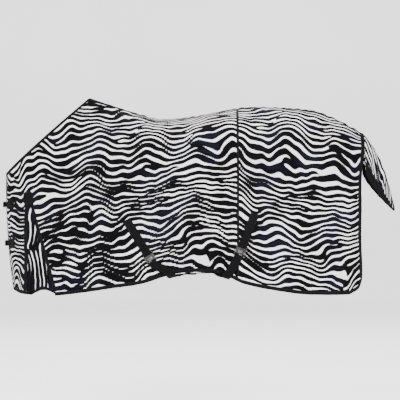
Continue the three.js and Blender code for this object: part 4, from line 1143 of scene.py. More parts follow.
@dataclass
class ClothPanels:
    """The four printed panels, the shoulder gussets and the chest underlap."""

    shop: Workshop
    gusset: Gusset
    pitch_along: float = 0.0085
    pitch_down: float = 0.0047
    seam_gap: float = 0.0005
    crest_dark: float = 0.16
    off_cut: tuple = (1.37, 0.21)
    rear_cut: tuple = (-0.71, 0.06)
    underlap_cut: tuple = (2.1, 0.11)
    underlap_layers: tuple = (-4.3 * MM, -5.1 * MM)

    def build(self) -> list[SheetCloth]:
        """Builds every cut piece of cloth but the tail flap."""
        made = []
        for side in Side:
            made += [self.front(side), self.rear(side), self.godet(side)]
        made.append(self.underlap())
        return made

    def rows(self, first: float, last: float, depth: float) -> Array:
        """Rows from first to last at the down pitch."""
        count = max(int(abs(last - first) * depth / self.pitch_down), 4)
        return np.linspace(first, last, count + 1)

    def layers(self, s: Array, v: Array, side: Side) -> tuple[Array, Array]:
        """Outer and inner layer of the cloth at a grid of places."""
        skin = self.shop.skin
        return skin(s, v, side, LAYERS.cloth_high), skin(s, v, side, LAYERS.cloth_low)

    def tone(self, flat: Array, side: Side, along: float, down: float) -> Array:
        """Tone of the main print, cut from the bolt at an offset."""
        more_along, more_down = (0.0, 0.0) if side is Side.NEAR else self.off_cut
        a = flat[..., 0] + along + more_along
        b = PRINT_DEPTH(flat[..., 1]) + down + more_down
        crest = 1 - smoothstep(flat[..., 1], 0.03, 0.16)
        return self.shop.print_main(a, b) - self.crest_dark * crest

    def front(self, side: Side) -> SheetCloth:
        """Front panel from the chest to the flank seam, slit for the gusset."""
        form, gusset = self.shop.form, self.gusset
        apex_s, apex_v = (float(a) for a in form.place_on_side(*gusset.apex))
        depth = float(np.interp(apex_s, self.shop.flat.stations, self.shop.flat.depths))
        above = self.rows(0.0, apex_v, depth)
        below = self.rows(apex_v, 1.0, depth)[1:]
        v = np.concatenate([above, below])
        front_edge = gusset.edge_station(v, gusset.front_foot, -self.seam_gap / 2)
        rear_edge = gusset.edge_station(v, gusset.rear_foot, self.seam_gap / 2)
        seam = 1 + form.flank_seam - self.seam_gap / 2 / form.back_length
        chest_run = 0.60
        ahead_run = chest_run * (apex_s - form.front_edge)
        behind_run = chest_run * (1 - apex_s) + form.back_length * form.flank_seam
        ahead = np.linspace(0, 1, int(ahead_run / self.pitch_along) + 2)[:, None]
        behind = np.linspace(0, 1, int(behind_run / self.pitch_along) + 2)[:, None]
        s = np.concatenate([lerp(form.front_edge, front_edge, ahead),
                            lerp(rear_edge, seam, behind)])
        rows = np.broadcast_to(v, s.shape)
        index = np.arange(s.size).reshape(s.shape)
        first = len(ahead)
        joined = len(above)
        index[first, :joined] = index[first - 1, :joined]
        quads = np.concatenate([grid_quads(index[:first]), grid_quads(index[first:])])
        return self.finished(f"front_panel_cloth_{side.word}", s, rows, side, quads,
                             (0.0, 0.0), f"front_panel_{side.word}")

    def rear(self, side: Side) -> SheetCloth:
        """Rear panel from the flank seam to the buttock, with its rounded bottom corner."""
        form = self.shop.form
        seam = 1 + form.flank_seam + self.seam_gap / 2 / form.back_length
        corner = form.rear_corner / form.back_length
        straight = np.arange(seam, form.rear_end - corner, self.pitch_along / form.back_length)
        turn = np.linspace(0, np.pi / 2, 22)
        rounded = form.rear_end - corner * (1 - np.sin(turn))
        s = np.concatenate([straight, rounded])[:, None]
        depth = self.shop.flat.depth_at_withers
        v = self.rows(0.0, 1.0, depth)[None, :]
        s, v = np.broadcast_arrays(s, v)
        quads = whole_grid(s.shape)
        return self.finished(f"rear_panel_cloth_{side.word}", s, v, side, quads,
                             self.rear_cut, f"rear_panel_{side.word}")

    def finished(self, name: str, s: Array, v: Array, side: Side, quads: Array,
                 cut_at: tuple[float, float], node: str) -> SheetCloth:
        """Makes a panel's mesh, dresses it and measures its cut."""
        shop = self.shop
        flat = shop.flat(s, v)
        outer, inner = self.layers(s, v, side)
        tone = self.tone(flat, side, *cut_at)
        piece = grid_shell(name, outer, inner, flat, tone, quads)
        shop.dress(piece, shop.finishes.cloth, node)
        smooth = shop.form.underside(s, v).reshape(-1, 3)
        area = flat_area(smooth, quads)
        length = max(arc_lengths(row)[-1] for row in np.moveaxis(smooth.reshape(*s.shape, 3), 1, 0))
        width = max(arc_lengths(col)[-1] for col in smooth.reshape(*s.shape, 3))
        width, length = (max(width, area / length), length)
        return SheetCloth(piece, (width, length), area)

    def godet(self, side: Side) -> SheetCloth:
        """Gusset cloth, its stripes upright and its hem arched."""
        shop, gusset = self.shop, self.gusset
        apex_v = float(shop.form.place_on_side(*gusset.apex)[1])
        share = np.linspace(0, 1, 41)[:, None]
        t = np.linspace(0.012, 1, 90)[None, :]
        v = apex_v + (1 - apex_v) * t + 0 * share
        for _ in range(3):
            front = gusset.edge_station(v, gusset.front_foot, self.seam_gap / 2)
            rear = gusset.edge_station(v, gusset.rear_foot, -self.seam_gap / 2)
            s = lerp(front, rear, share)
            v = apex_v + (gusset.arched(s) - apex_v) * t
        full = np.sin(np.pi * share) * smoothstep(t, 0.2, 1.0)
        flare = full * (2.5 * MM * np.sin(2.2 * np.pi * share + 0.6) + 1.0 * MM)
        outer = shop.skin(s, v, side, LAYERS.cloth_high + flare)
        inner = shop.skin(s, v, side, LAYERS.cloth_low + flare)
        flat = shop.flat(s, v)
        spin = 0.0 if side is Side.NEAR else 0.5
        tone = shop.print_gusset(flat[..., 1] + spin, 1.15 * flat[..., 0] + spin)
        piece = grid_shell(f"gusset_cloth_{side.word}", outer, inner, flat, tone)
        shop.dress(piece, shop.finishes.cloth, f"shoulder_gusset_{side.word}")
        area = flat_area(shop.form.underside(s, v).reshape(-1, 3), whole_grid(s.shape))
        return SheetCloth(piece, (gusset.rear_at_hem - gusset.front_at_hem + 0.01,
                                  gusset.apex_over_hem + 0.01), area)

    def underlap(self) -> SheetCloth:
        """Tongue of cloth on the off side that the near front lies over."""
        shop, form = self.shop, self.shop.form
        signed = np.linspace(-form.underlap_near, form.underlap_off, 60)[:, None]
        low = 1 - 3 * BINDING_WIDTH / float(form.drop(form.front_edge, 1))
        high = 2 * BINDING_WIDTH / float(form.drop(form.front_edge, 0))
        v = np.linspace(high, low, 90)[None, :]
        s = np.abs(signed)
        s, v, signed = np.broadcast_arrays(s, v, signed)
        layers = []
        for offset in self.underlap_layers:
            near = shop.skin(s, v, Side.NEAR, offset, folded=False)
            off = shop.skin(s, v, Side.OFF, offset, folded=False)
            layers.append(np.where(signed[..., None] < 0, near, off))
        flat = shop.flat(s, v)
        flat = np.stack([signed * shop.flat.chest_run, flat[..., 1]], axis=-1)
        along, down = self.underlap_cut
        tone = shop.print_main(flat[..., 0] + along, PRINT_DEPTH(flat[..., 1]) + down)
        piece = grid_shell("chest_underlap_cloth", layers[0], layers[1], flat, tone)
        shop.dress(piece, shop.finishes.cloth, "chest_underlap")
        area = flat_area(layers[0].reshape(-1, 3), whole_grid(s.shape))
        length = arc_lengths(layers[0][0])[-1]
        width = max(arc_lengths(row)[-1] for row in np.moveaxis(layers[0], 1, 0))
        return SheetCloth(piece, (width, max(length, area / width)), area)


# Folded binding in section, as (distance into the cloth, offset) in millimetres
FOLD_OUTSIDE = ((18, 2.9), (15, 3.1), (10, 3.25), (5, 3.3), (1.2, 3.1), (-1.0, 2.6), (-1.6, 1.6),
                (-1.0, 0.6), (1.2, 0.1), (5, -0.1), (10, -0.05), (15, 0.1), (18, 0.3))
FOLD_INSIDE = ((18, 2.15), (15, 2.15), (10, 2.15), (5, 2.15), (0.8, 2.12), (-0.3, 2.0),
               (-0.6, 1.6), (-0.3, 1.2), (0.8, 1.08), (5, 1.05), (10, 1.05), (15, 1.05),
               (18, 1.05))


def rounded_grid(count: int, power: float) -> tuple[Array, Array]:
    """Grid of places from -1 to 1 whose outline is a superellipse of the given power."""
    line = np.linspace(-1, 1, count)
    u, w = np.meshgrid(line, line, indexing="ij")
    ring = np.maximum(np.abs(u), np.abs(w))
    norm = (np.abs(u) ** power + np.abs(w) ** power) ** (1 / power)
    scale = np.where(norm > 0, ring / np.maximum(norm, 1e-9), 1.0)
    return u * scale, w * scale


@dataclass
class Bindings:
    """Folded bindings, seam tapes, slit bands and patches on the cloth."""

    shop: Workshop
    gusset: Gusset
    stitching: "Stitching"
    pitch: float = 0.0032
    spine_half: float = 0.016
    seam_half: float = 0.006
    row_in: float = 0.0145
    crinkle: float = 0.22 * MM

    def build(self) -> dict[str, list[Piece]]:
        """Builds every binding and tape; returns the trims of each cloth piece by side."""
        made: dict[str, list[Piece]] = {}
        front = ("neck_edge_binding", "chest_opening_binding", "chest_hem_edging",
                 "body_hem_edging")
        for side in Side:
            word = side.word
            made[f"front_{word}"] = [*(self.folded(name, side) for name in front),
                                     self.seam_tape(side)]
            made[f"rear_{word}"] = [self.folded("rear_edge_binding", side)]
            made[f"gusset_{word}"] = [
                self.folded("gusset_hem_edging", side), self.band(side, "front"),
                self.band(side, "rear"), self.apex_patch(side),
            ]
        made["spine"] = [self.spine()]
        return made

    def crinkled(self, run: Array, seed: int) -> Array:
        """Small uneven heights along a binding, as the stitches draw it in."""
        return self.crinkle * Ripple(seed, 0.013, 0.0, 0.1)(run, 0 * run)

    def folded(self, edge: str, side: Side) -> Piece:
        """Folded binding along an edge.

        Args:
            edge: name of the binding without its side.
            side: near or off.

        Returns:
            The dressed object.
        """
        shop = self.shop
        places, length, node = {
            "neck_edge_binding": (self.neck, 0.66, "neck_binding"),
            "chest_opening_binding": (self.chest_edge, 0.62, "chest_edge_binding"),
            "chest_hem_edging": (self.chest_hem, 0.26, "chest_hem_binding"),
            "body_hem_edging": (self.body_hem, 1.75, "body_hem_binding"),
            "rear_edge_binding": (self.rear_edge, 0.86, "rear_binding"),
            "gusset_hem_edging": (self.gusset_hem, 0.17, "gusset_hem_binding"),
        }[edge]
        name = f"{edge}_{side.word}"
        share = np.linspace(0, 1, self.columns(length))[:, None]
        layers = []
        for section in (FOLD_OUTSIDE, FOLD_INSIDE):
            inward, offset = (np.array(section) * MM).T
            s, v = np.broadcast_arrays(*places(share, inward[None, :]))
            layers.append(shop.skin(s, v, side, offset[None, :]))
        run = arc_lengths(layers[0][:, 4])
        lift = self.crinkled(run, len(name))[:, None, None]
        layers[0] = layers[0] + unit(layers[0] - layers[1]) * lift
        across = arc_lengths(layers[0][0])
        flat = np.stack(np.broadcast_arrays(run[:, None], across[None, :]), axis=-1)
        piece = grid_shell(name, layers[0], layers[1], flat)
        shop.dress(piece, shop.finishes.binding, f"{node}_{side.word}")
        s, v = np.broadcast_arrays(*places(share, np.array([[self.row_in]])))
        self.stitching.row("sheet", shop.skin(s[:, 0], v[:, 0], side, LAYERS.thread), side)
        return piece

    def columns(self, length: float) -> int:
        """Number of columns for a length of binding."""
        return int(length / self.pitch) + 2

    def neck(self, share: Array, inward: Array) -> tuple[Array, Array]:
        """Stations and rows at shares along the neck edge and distances into the cloth."""
        form = self.shop.form
        s = lerp(form.front_edge + 0.012, 0.9915, share)
        return s, inward / form.drop(s, 0)

    def chest_hem(self, share: Array, inward: Array) -> tuple[Array, Array]:
        """The same for the hem ahead of the gusset."""
        form = self.shop.form
        foot = float(form.place_on_side(self.gusset.front_foot - 0.0005, -form.hem_depth)[0])
        s = lerp(form.front_edge + 0.004, foot, share)
        return s, 1 - inward / form.drop(s, 1)

    def body_hem(self, share: Array, inward: Array) -> tuple[Array, Array]:
        """The same for the hem from the gusset round the rear bottom corner."""
        form = self.shop.form
        foot = float(form.place_on_side(self.gusset.rear_foot + 0.0005, -form.hem_depth)[0])
        corner = form.rear_corner / form.back_length
        straight_share, step = 0.86, 1e-4
        even = lerp(foot, form.rear_end - corner, np.minimum(share / straight_share, 1))
        turn = np.clip((share - straight_share) / (1 - straight_share), 0, 1) * np.pi / 2
        s = even + corner * np.sin(turn)
        edge = form.underside(s, 1)
        along = form.underside(s + step, 1) - form.underside(s - step, 1)
        down = form.underside(s, 1 + step) - form.underside(s, 1 - step)
        into = unit(np.cross(unit(along), unit(np.cross(along, down))))
        x = edge[..., 0] + into[..., 0] * inward
        z = edge[..., 2] + into[..., 2] * inward
        return form.place_on_side(x, z)

    def chest_edge(self, share: Array, inward: Array) -> tuple[Array, Array]:
        """The same for the front opening."""
        form = self.shop.form
        band = BINDING_WIDTH / float(form.run(form.front_edge, 0.5))
        return form.front_edge + inward * band / BINDING_WIDTH, lerp(0.004, 0.996, share)

    def rear_edge(self, share: Array, inward: Array) -> tuple[Array, Array]:
        """The same for the rear edge, down to the rounded corner."""
        form = self.shop.form
        s = form.rear_end - inward / form.back_length
        foot_z = form.underside(form.rear_end, 1)[2] + 0.004
        foot = 1 - (foot_z - form.underside(s, 1)[..., 2]) / form.drop(s, 1)
        return s, lerp(0.002, foot, share)

    def gusset_hem(self, share: Array, inward: Array) -> tuple[Array, Array]:
        """The same for the gusset's arched hem."""
        gusset = self.gusset
        ones = np.array([1.0])
        first = float(gusset.edge_station(ones, gusset.front_foot, 0.001)[0])
        last = float(gusset.edge_station(ones, gusset.rear_foot, -0.001)[0])
        s = lerp(first, last, share)
        return s, gusset.arched(s) - inward / self.shop.form.drop(s, 1)

    def laid(self, name: str, s: Array, v: Array, side: Side, flat: Array, low: float,
             high: float) -> Piece:
        """A tape or patch that lies on the cloth, its edges pressed down."""
        skin = self.shop.skin
        return grid_shell(name, skin(s, v, side, high), skin(s, v, side, low), flat)

    def seam_tape(self, side: Side) -> Piece:
        """Tape over the flank seam."""
        shop, form = self.shop, self.shop.form
        across = np.array([-1, -0.93, -0.6, 0, 0.6, 0.93, 1])[None, :]
        v = np.linspace(0.02, 0.978, self.columns(0.9))[:, None]
        s = 1 + form.flank_seam + across * self.seam_half / form.back_length
        s, v = np.broadcast_arrays(s, v)
        dome = LAYERS.tape_high - EDGE_PRESS * across ** 6
        run = v * shop.flat.depth_at_withers
        flat = np.stack([run, np.broadcast_to(across * self.seam_half, run.shape)], axis=-1)
        piece = self.laid(f"flank_tape_{side.word}", s, v, side, flat, LAYERS.tape_low, dome)
        shop.dress(piece, shop.finishes.binding, f"flank_seam_tape_{side.word}")
        for share in (-0.62, 0.62):
            line = 1 + form.flank_seam + share * self.seam_half / form.back_length
            self.stitching.row("sheet", shop.skin(line, v[:, 0], side, LAYERS.thread), side)
        return piece

    def spine(self) -> Piece:
        """Tape over the spine seam, from the withers to the dock."""
        shop, form = self.shop, self.shop.form
        across = np.array([-1, -0.95, -0.8, -0.55, -0.3, 0, 0.3, 0.55, 0.8, 0.95, 1])
        s = np.linspace(1.002, form.rear_end - 0.001, self.columns(form.back_length))
        layers = []
        for offset in (LAYERS.tape_high, LAYERS.tape_low):
            columns = []
            for share in across:
                side = Side.NEAR if share < 0 else Side.OFF
                drop = form.drop(s, 0)
                height = offset - (EDGE_PRESS * share ** 6 if offset > LAYERS.tape_low else 0)
                line = shop.skin(s, abs(share) * self.spine_half / drop, side, height)
                if share == 0:
                    line[:, 1] = 0
                columns.append(line)
            layers.append(np.stack(columns, axis=1))
        run = arc_lengths(layers[0][:, 5])
        flat = np.stack(np.broadcast_arrays(run[:, None], across[None, :] * self.spine_half), -1)
        piece = grid_shell("spine_seam_tape", layers[0], layers[1], flat)
        shop.dress(piece, shop.finishes.binding, "spine_tape")
        for side in Side:
            v = 0.84 * self.spine_half / form.drop(s, 0)
            self.stitching.row("sheet", shop.skin(s, v, side, LAYERS.thread), side)
        return piece

    def band(self, side: Side, end: str) -> Piece:
        """Band along one edge of the slit."""
        shop, gusset, form = self.shop, self.gusset, self.shop.form
        foot = gusset.front_foot if end == "front" else gusset.rear_foot
        apex_x, apex_z = gusset.apex
        top = apex_z - gusset.patch_height / 4
        bottom = BINDING_WIDTH + 0.003 - form.hem_depth
        z = np.linspace(top, bottom, self.columns(0.48))[:, None]
        across = np.array([-1, -0.94, -0.7, -0.35, 0, 0.35, 0.7, 0.94, 1])[None, :]
        line = apex_x + (foot - apex_x) * (apex_z - z) / gusset.apex_over_hem
        shift = np.sign(foot - apex_x) * BINDING_WIDTH * 0.45
        x = line + shift + across * BINDING_WIDTH / 2
        s, v = form.place_on_side(*np.broadcast_arrays(x, z))
        high = LAYERS.tape_high - 0.4 * MM * across ** 6
        flat = np.stack(np.broadcast_arrays(z, across * BINDING_WIDTH / 2), axis=-1)
        name = f"slit_{end}_band_{side.word}"
        piece = self.laid(name, s, v, side, flat, LAYERS.tape_low, high)
        node = f"gusset_{end}_band_{side.word}"
        shop.dress(piece, shop.finishes.binding, node)
        for column in (2, 6):
            points = shop.skin(s[:, column], v[:, column], side, LAYERS.thread)
            self.stitching.row("sheet", points, side)
        return piece

    def apex_patch(self, side: Side) -> Piece:
        """Rounded patch over the slit's top."""
        shop, gusset = self.shop, self.gusset
        u, w = rounded_grid(21, 2.6)
        apex_x, apex_z = gusset.apex
        x = apex_x + u * gusset.patch_width / 2
        z = apex_z - gusset.patch_height / 6 + w * gusset.patch_height / 2
        s, v = shop.form.place_on_side(x, z)
        flat = np.stack([x, z], axis=-1)
        edge = np.maximum(np.abs(u), np.abs(w)) ** 8
        high = LAYERS.patch_high - 0.6 * MM * np.clip(edge, 0, 1)
        name = f"apex_patch_{side.word}"
        piece = self.laid(name, s, v, side, flat, LAYERS.patch_low, high)
        shop.dress(piece, shop.finishes.patch, f"gusset_patch_{side.word}")
        self.ring(x, z, apex_x, apex_z - gusset.patch_height / 6, side)
        return piece

    def ring(self, x: Array, z: Array, middle_x: float, middle_z: float, side: Side) -> None:
        """Row of stitches just inside a patch's outline."""
        inset = 0.86
        ring_x = np.concatenate([x[:, 0], x[-1, 1:], x[-2::-1, -1], x[0, -2::-1]])
        ring_z = np.concatenate([z[:, 0], z[-1, 1:], z[-2::-1, -1], z[0, -2::-1]])
        s, v = self.shop.form.place_on_side(lerp(middle_x, ring_x, inset),
                                            lerp(middle_z, ring_z, inset))
        height = LAYERS.patch_high + 0.1 * MM
        self.stitching.row("sheet", self.shop.skin(s, v, side, height), side)


# ---------------------------------------------------------------- stitches


@dataclass
class Stitching:
    """Rows of lockstitch, each stitch a short plump bead of thread along its row."""

    finish: Material
    pitch: float = 5.2 * MM
    length: float = 3.9 * MM
    thick: float = 0.75 * MM
    wander: float = 0.09
    seed: int = 7
    rows: dict = field(default_factory=dict)

    def row(self, body: str, points: Array, side: Side) -> None:
        """Adds a row of stitches along points, on a body."""
        self.rows.setdefault((body, side), []).append(np.asarray(points, float))

    def tree(self) -> Tree:
        """Node tree that lays a bead at an even pitch along every line of a mesh."""
        tree = bpy.data.node_groups.new("lockstitch", "GeometryNodeTree")
        kinds = {"Lines": "Geometry", "Pitch": "Float", "Stitch Length": "Float",
                 "Thread": "Float", "Seed": "Int", "Finish": "Material"}
        for label, kind in kinds.items():
            tree.interface.new_socket(label, in_out="INPUT", socket_type=f"NodeSocket{kind}")
        tree.interface.new_socket("Stitches", in_out="OUTPUT", socket_type="NodeSocketGeometry")
        nodes = Nodes(tree)
        given = tree.nodes.new("NodeGroupInput").outputs
        out = tree.nodes.new("NodeGroupOutput")
        curve = nodes.add("GeometryNodeMeshToCurve", {"Mesh": given["Lines"]}).outputs[0]
        steps = {"Curve": curve, "Length": given["Pitch"]}
        spaced = nodes.add("GeometryNodeResampleCurve", steps, mode="LENGTH").outputs[0]
        bead = nodes.add("GeometryNodeMeshUVSphere", {"Segments": 6, "Rings": 4, "Radius": 0.5})
        size = {"X": given["Thread"], "Y": given["Thread"], "Z": given["Stitch Length"]}
        size = nodes.add("ShaderNodeCombineXYZ", size).outputs[0]
        bead = nodes.add("GeometryNodeTransform", {"Geometry": bead.outputs[0], "Scale": size})
        bead = nodes.add("GeometryNodeSetShadeSmooth", {"Geometry": bead.outputs[0]}).outputs[0]
        tangent = nodes.add("GeometryNodeInputTangent").outputs[0]
        spread = {0: (-self.wander,) * 3, 1: (self.wander,) * 3, "Seed": given["Seed"]}
        wander = nodes.add("FunctionNodeRandomValue", data_type="FLOAT_VECTOR")
        wander = nodes.fill(wander, spread).outputs[0]
        leaning = nodes.add("ShaderNodeVectorMath", {0: tangent, 1: wander}).outputs[0]
        turned = nodes.add("FunctionNodeAlignRotationToVector", {"Vector": leaning}, axis="Z")
        laid = {"Points": spaced, "Instance": bead, "Rotation": turned.outputs[0]}
        laid = nodes.add("GeometryNodeInstanceOnPoints", laid).outputs[0]
        real = nodes.add("GeometryNodeRealizeInstances", {"Geometry": laid}).outputs[0]
        dressed = {"Geometry": real, "Material": given["Finish"]}
        dressed = nodes.add("GeometryNodeSetMaterial", dressed).outputs[0]
        nodes.fill(out, {"Stitches": dressed})
        return tree

    def build(self) -> dict[tuple, Piece]:
        """Lays every row; one piece for each body and side."""
        tree = self.tree()
        values = {"Pitch": self.pitch, "Stitch Length": self.length, "Thread": self.thick,
                  "Seed": self.seed, "Finish": self.finish}
        made = {}
        for (body, side), rows in self.rows.items():
            points = np.concatenate(rows)
            starts = np.cumsum([0] + [len(r) for r in rows])
            edges = [(a + i, a + i + 1) for a, r in zip(starts, rows) for i in range(len(r) - 1)]
            mesh = bpy.data.meshes.new("stitch_lines")
            mesh.from_pydata(points.tolist(), edges, [])
            lines = linked("stitch_lines", mesh)
            modifier = lines.modifiers.new("lockstitch", "NODES")
            modifier.node_group = tree
            for item in tree.interface.items_tree:
                if item.name in values:
                    modifier[item.identifier] = values[item.name]
            piece = linked(f"{body}_stitches_{side.word}", applied(lines))
            log.info("%s: %d faces", piece.name, len(piece.data.polygons))
            made[(body, side)] = piece
        return made


# ---------------------------------------------------------------- tail flap


def bezier(points: Array, t: Array) -> Array:
    """Points of a cubic Bezier curve at t."""
    t = np.asarray(t, float)[..., None]
    u = 1 - t
    a, b, c, d = points
    return u ** 3 * a + 3 * u * u * t * b + 3 * u * t * t * c + t ** 3 * d


@dataclass
class TailFlap:
    """Leaf of cloth that arches over the tail, sewn to the rear edge at the dock."""

    shop: Workshop
    stitching: Stitching
    root_gap: float = 0.005
    root_top: float = -0.080
    root_half: float = 0.108
    root_depth: float = 0.200
    tip_behind: float = 0.166
    tip_z: float = -0.474
    last: float = 0.985
    bend_reach: float = 0.075
    binding_share: float = 0.2
    fold: float = 2.6 * MM
    ripple: float = 1.2 * MM

    def __post_init__(self) -> None:
        dock = self.shop.form.dock_x
        top, low = self.root_top, self.root_top - self.root_depth
        tip = np.array([dock + self.tip_behind, 0, self.tip_z])
        self.ridge = np.array([
            [dock + self.root_gap, 0, top], [dock + 0.070, 0, top - 0.070],
            [dock + 0.128, 0, top - 0.220], tip,
        ])
        self.edge = np.array([
            [dock + self.root_gap, self.root_half, low],
            [dock + 0.030, self.root_half * 0.9, low - 0.060],
            [dock + 0.095, self.root_half * 0.5, low - 0.130],
            tip + np.array([-0.004, 0.010, -0.004]),
        ])

    def arch(self, t: Array, a: Array) -> Array:
        """Points of the smooth flap, t from root to tip and a from -1 to 1 across."""
        t, a = np.broadcast_arrays(t, a)
        ridge, edge = bezier(self.ridge, t), bezier(self.edge, t)
        turn = np.pi / 2 * np.abs(a)
        x = lerp(edge[..., 0], ridge[..., 0], np.cos(turn))
        z = lerp(edge[..., 2], ridge[..., 2], np.cos(turn))
        return np.stack([x, np.sign(a) * edge[..., 1] * np.sin(turn), z], axis=-1)

    def point(self, t: Array, a: Array, offset: Array) -> Array:
        """Points at an offset outside the flap, with its soft lengthwise folds."""
        t, a = np.broadcast_arrays(np.asarray(t, float), np.asarray(a, float))
        step = 1e-3
        size = np.maximum(np.abs(a), step)
        down = self.arch(t + step, size) - self.arch(t - step, size)
        out = self.arch(t, size + step) - self.arch(t, size - step)
        normal = unit(np.cross(down, out))
        normal[..., 1] *= np.where(a < 0, -1, 1)
        folds = self.fold * np.sin(5.2 * a + 3.5 * t + 0.4) * np.sin(np.pi * np.clip(t, 0, 1)) ** 1.3
        ripples = self.ripple * Ripple(71, 0.07, 0.6, 0.5)(t * 0.45, a * 0.15)
        folds = folds + ripples * smoothstep(t, 0, 0.2)
        height = np.asarray(offset) + folds * (1 - smoothstep(t, 0.86, 1.0))
        return self.arch(t, a) + normal * np.broadcast_to(height, t.shape)[..., None]

    def bend(self, piece: Piece) -> None:
        """Bakes a piece's transform into its mesh."""
        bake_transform(piece)

    def build(self) -> SheetCloth:
        """Builds the flap's cloth and its binding."""
        shop = self.shop
        t = np.linspace(-0.012, self.last, 130)[:, None]
        a = np.linspace(-1, 1, 83)[None, :]
        outer = self.point(t, a, LAYERS.cloth_high)
        inner = self.point(t, a, LAYERS.cloth_low)
        run = arc_lengths(outer[:, 41])[:, None] + 0 * a
        ring = np.linalg.norm(np.diff(outer, axis=1), axis=2)
        across = np.concatenate([np.zeros((len(t), 1)), np.cumsum(ring, axis=1)], axis=1)
        across = across - across[:, 41:42]
        flat = np.stack([run, across], axis=-1)
        tone = shop.print_flap(flat[..., 0], 0.90 * flat[..., 1] + 0.42 * flat[..., 0] + 0.3)
        cloth = grid_shell("tail_flap_cloth", outer, inner, flat, tone)
        shop.dress(cloth, shop.finishes.cloth, "tail_flap", body=None)
        self.bend(cloth)
        trims = [self.binding(side) for side in Side]
        area = flat_area(outer.reshape(-1, 3), whole_grid(run.shape))
        width = float((across.max(axis=1) - across.min(axis=1)).max())
        return SheetCloth(cloth, (width, float(run.max())), area, trims=trims)

    def binding(self, side: Side) -> Piece:
        """Folded binding along one edge of the flap."""
        shop = self.shop
        t = np.linspace(-0.008, self.last, 190)[:, None]
        layers = []
        for section in (FOLD_OUTSIDE, FOLD_INSIDE):
            inward, offset = (np.array(section) * MM).T
            across = 1 - self.binding_share * inward / BINDING_WIDTH
            layers.append(self.point(t, side.value * across[None, :], offset[None, :]))
        run = arc_lengths(layers[0][:, 4])
        section = arc_lengths(layers[0][0])
        flat = np.stack(np.broadcast_arrays(run[:, None], section[None, :]), axis=-1)
        piece = grid_shell(f"tail_flap_edging_{side.word}", layers[0], layers[1], flat)
        node = f"tail_flap_binding_{side.word}"
        shop.dress(piece, shop.finishes.binding, node, body=None)
        self.bend(piece)
        stitched = side.value * (1 - self.binding_share * 0.8)
        row = self.point(t[:, 0], stitched + 0 * t[:, 0], LAYERS.thread)
        self.stitching.row("tail_flap", row, side)
        return piece


# ---------------------------------------------------------------- straps


@dataclass(frozen=True)
class Placing:
    """Frame of a fitting: an origin with directions along, across and out of the strap."""

    origin: Array
    along: Array
    across: Array
    out: Array

    def point(self, along: Array, across: Array, out: Array) -> Array:
        """Places of frame coordinates."""
        parts = np.broadcast_arrays(along, across, out)
        return (self.origin + parts[0][..., None] * self.along
                + parts[1][..., None] * self.across + parts[2][..., None] * self.out)


def round_bar(frame: Placing, radius: float, bar: float, away: float) -> tuple[Array, Array]:
    """Places round a bar, from the outer ply to the inner ply."""
    turn = np.pi / 2 - np.pi * np.linspace(0, 1, 15)
    places = frame.point(bar - away * radius * np.cos(turn), 0.0, radius * np.sin(turn))
    return places, frame.across


def catmull_rom(points: Array, t: Array) -> Array:
    """Centripetal Catmull-Rom curve through points, evenly shared between them over t."""
    points = np.asarray(points, float)
    last = len(points) - 1
    at = np.asarray(t, float) * last
    i = np.clip(np.floor(at).astype(int), 0, last - 1)
    w = (at - i)[..., None]
    padded = np.concatenate([[2 * points[0] - points[1]], points, [2 * points[-1] - points[-2]]])
    p0, p1, p2, p3 = padded[i], padded[i + 1], padded[i + 2], padded[i + 3]

    def gap(a: Array, b: Array) -> Array:
        return np.maximum(np.linalg.norm(b - a, axis=-1, keepdims=True), 1e-9) ** 0.5

    d0, d1, d2 = gap(p0, p1), gap(p1, p2), gap(p2, p3)
    m1 = ((p1 - p0) / d0 - (p2 - p0) / (d0 + d1) + (p2 - p1) / d1) * d1
    m2 = ((p2 - p1) / d1 - (p3 - p1) / (d1 + d2) + (p3 - p2) / d2) * d1
    square, cube = w * w, w * w * w
    return (p1 + m1 * w + (3 * (p2 - p1) - 2 * m1 - m2) * square
            + (2 * (p1 - p2) + m1 + m2) * cube)


@dataclass
class StrapPath:
    """Middle line of a strap with the direction across it at each place."""

    place: Array
    across: Array

    @staticmethod
    def joined(*parts: tuple[Array, Array]) -> "StrapPath":
        """Path from (places, across) parts laid end to end."""
        places = np.concatenate([np.atleast_2d(p) for p, _ in parts])
        across = np.concatenate(
            [np.broadcast_to(a, np.atleast_2d(p).shape) for p, a in parts]
        )
        return StrapPath(places, across)

    def refined(self, pitch: float) -> "StrapPath":
        """Path with its long steps split; its own places stay."""
        places, across = [self.place[:1]], [self.across[:1]]
        for i in range(len(self.place) - 1):
            gap = np.linalg.norm(self.place[i + 1] - self.place[i])
            t = np.linspace(0, 1, max(int(math.ceil(gap / pitch)), 1) + 1)[1:, None]
            places.append(lerp(self.place[i], self.place[i + 1], t))
            across.append(lerp(self.across[i], self.across[i + 1], t))
        return StrapPath(np.concatenate(places), unit(np.concatenate(across)))

    def outwards(self) -> Array:
        """Direction out of the strap at each place."""
        before = self.place[np.maximum(np.arange(len(self.place)) - 1, 0)]
        after = self.place[np.minimum(np.arange(len(self.place)) + 1, len(self.place) - 1)]
        return unit(np.cross(self.across, unit(after - before)))


# Section of woven webbing: places across as shares of the width, and shares of its thickness
WEB_ACROSS = np.array([-0.5, -0.487, -0.46, -0.4, -0.28, -0.12, 0, 0.12, 0.28, 0.4, 0.46, 0.487, 0.5])
WEB_THICK = np.array([0.35, 0.8, 1.0, 0.86, 0.92, 1.0, 1.0, 1.0, 0.92, 0.86, 1.0, 0.8, 0.35])


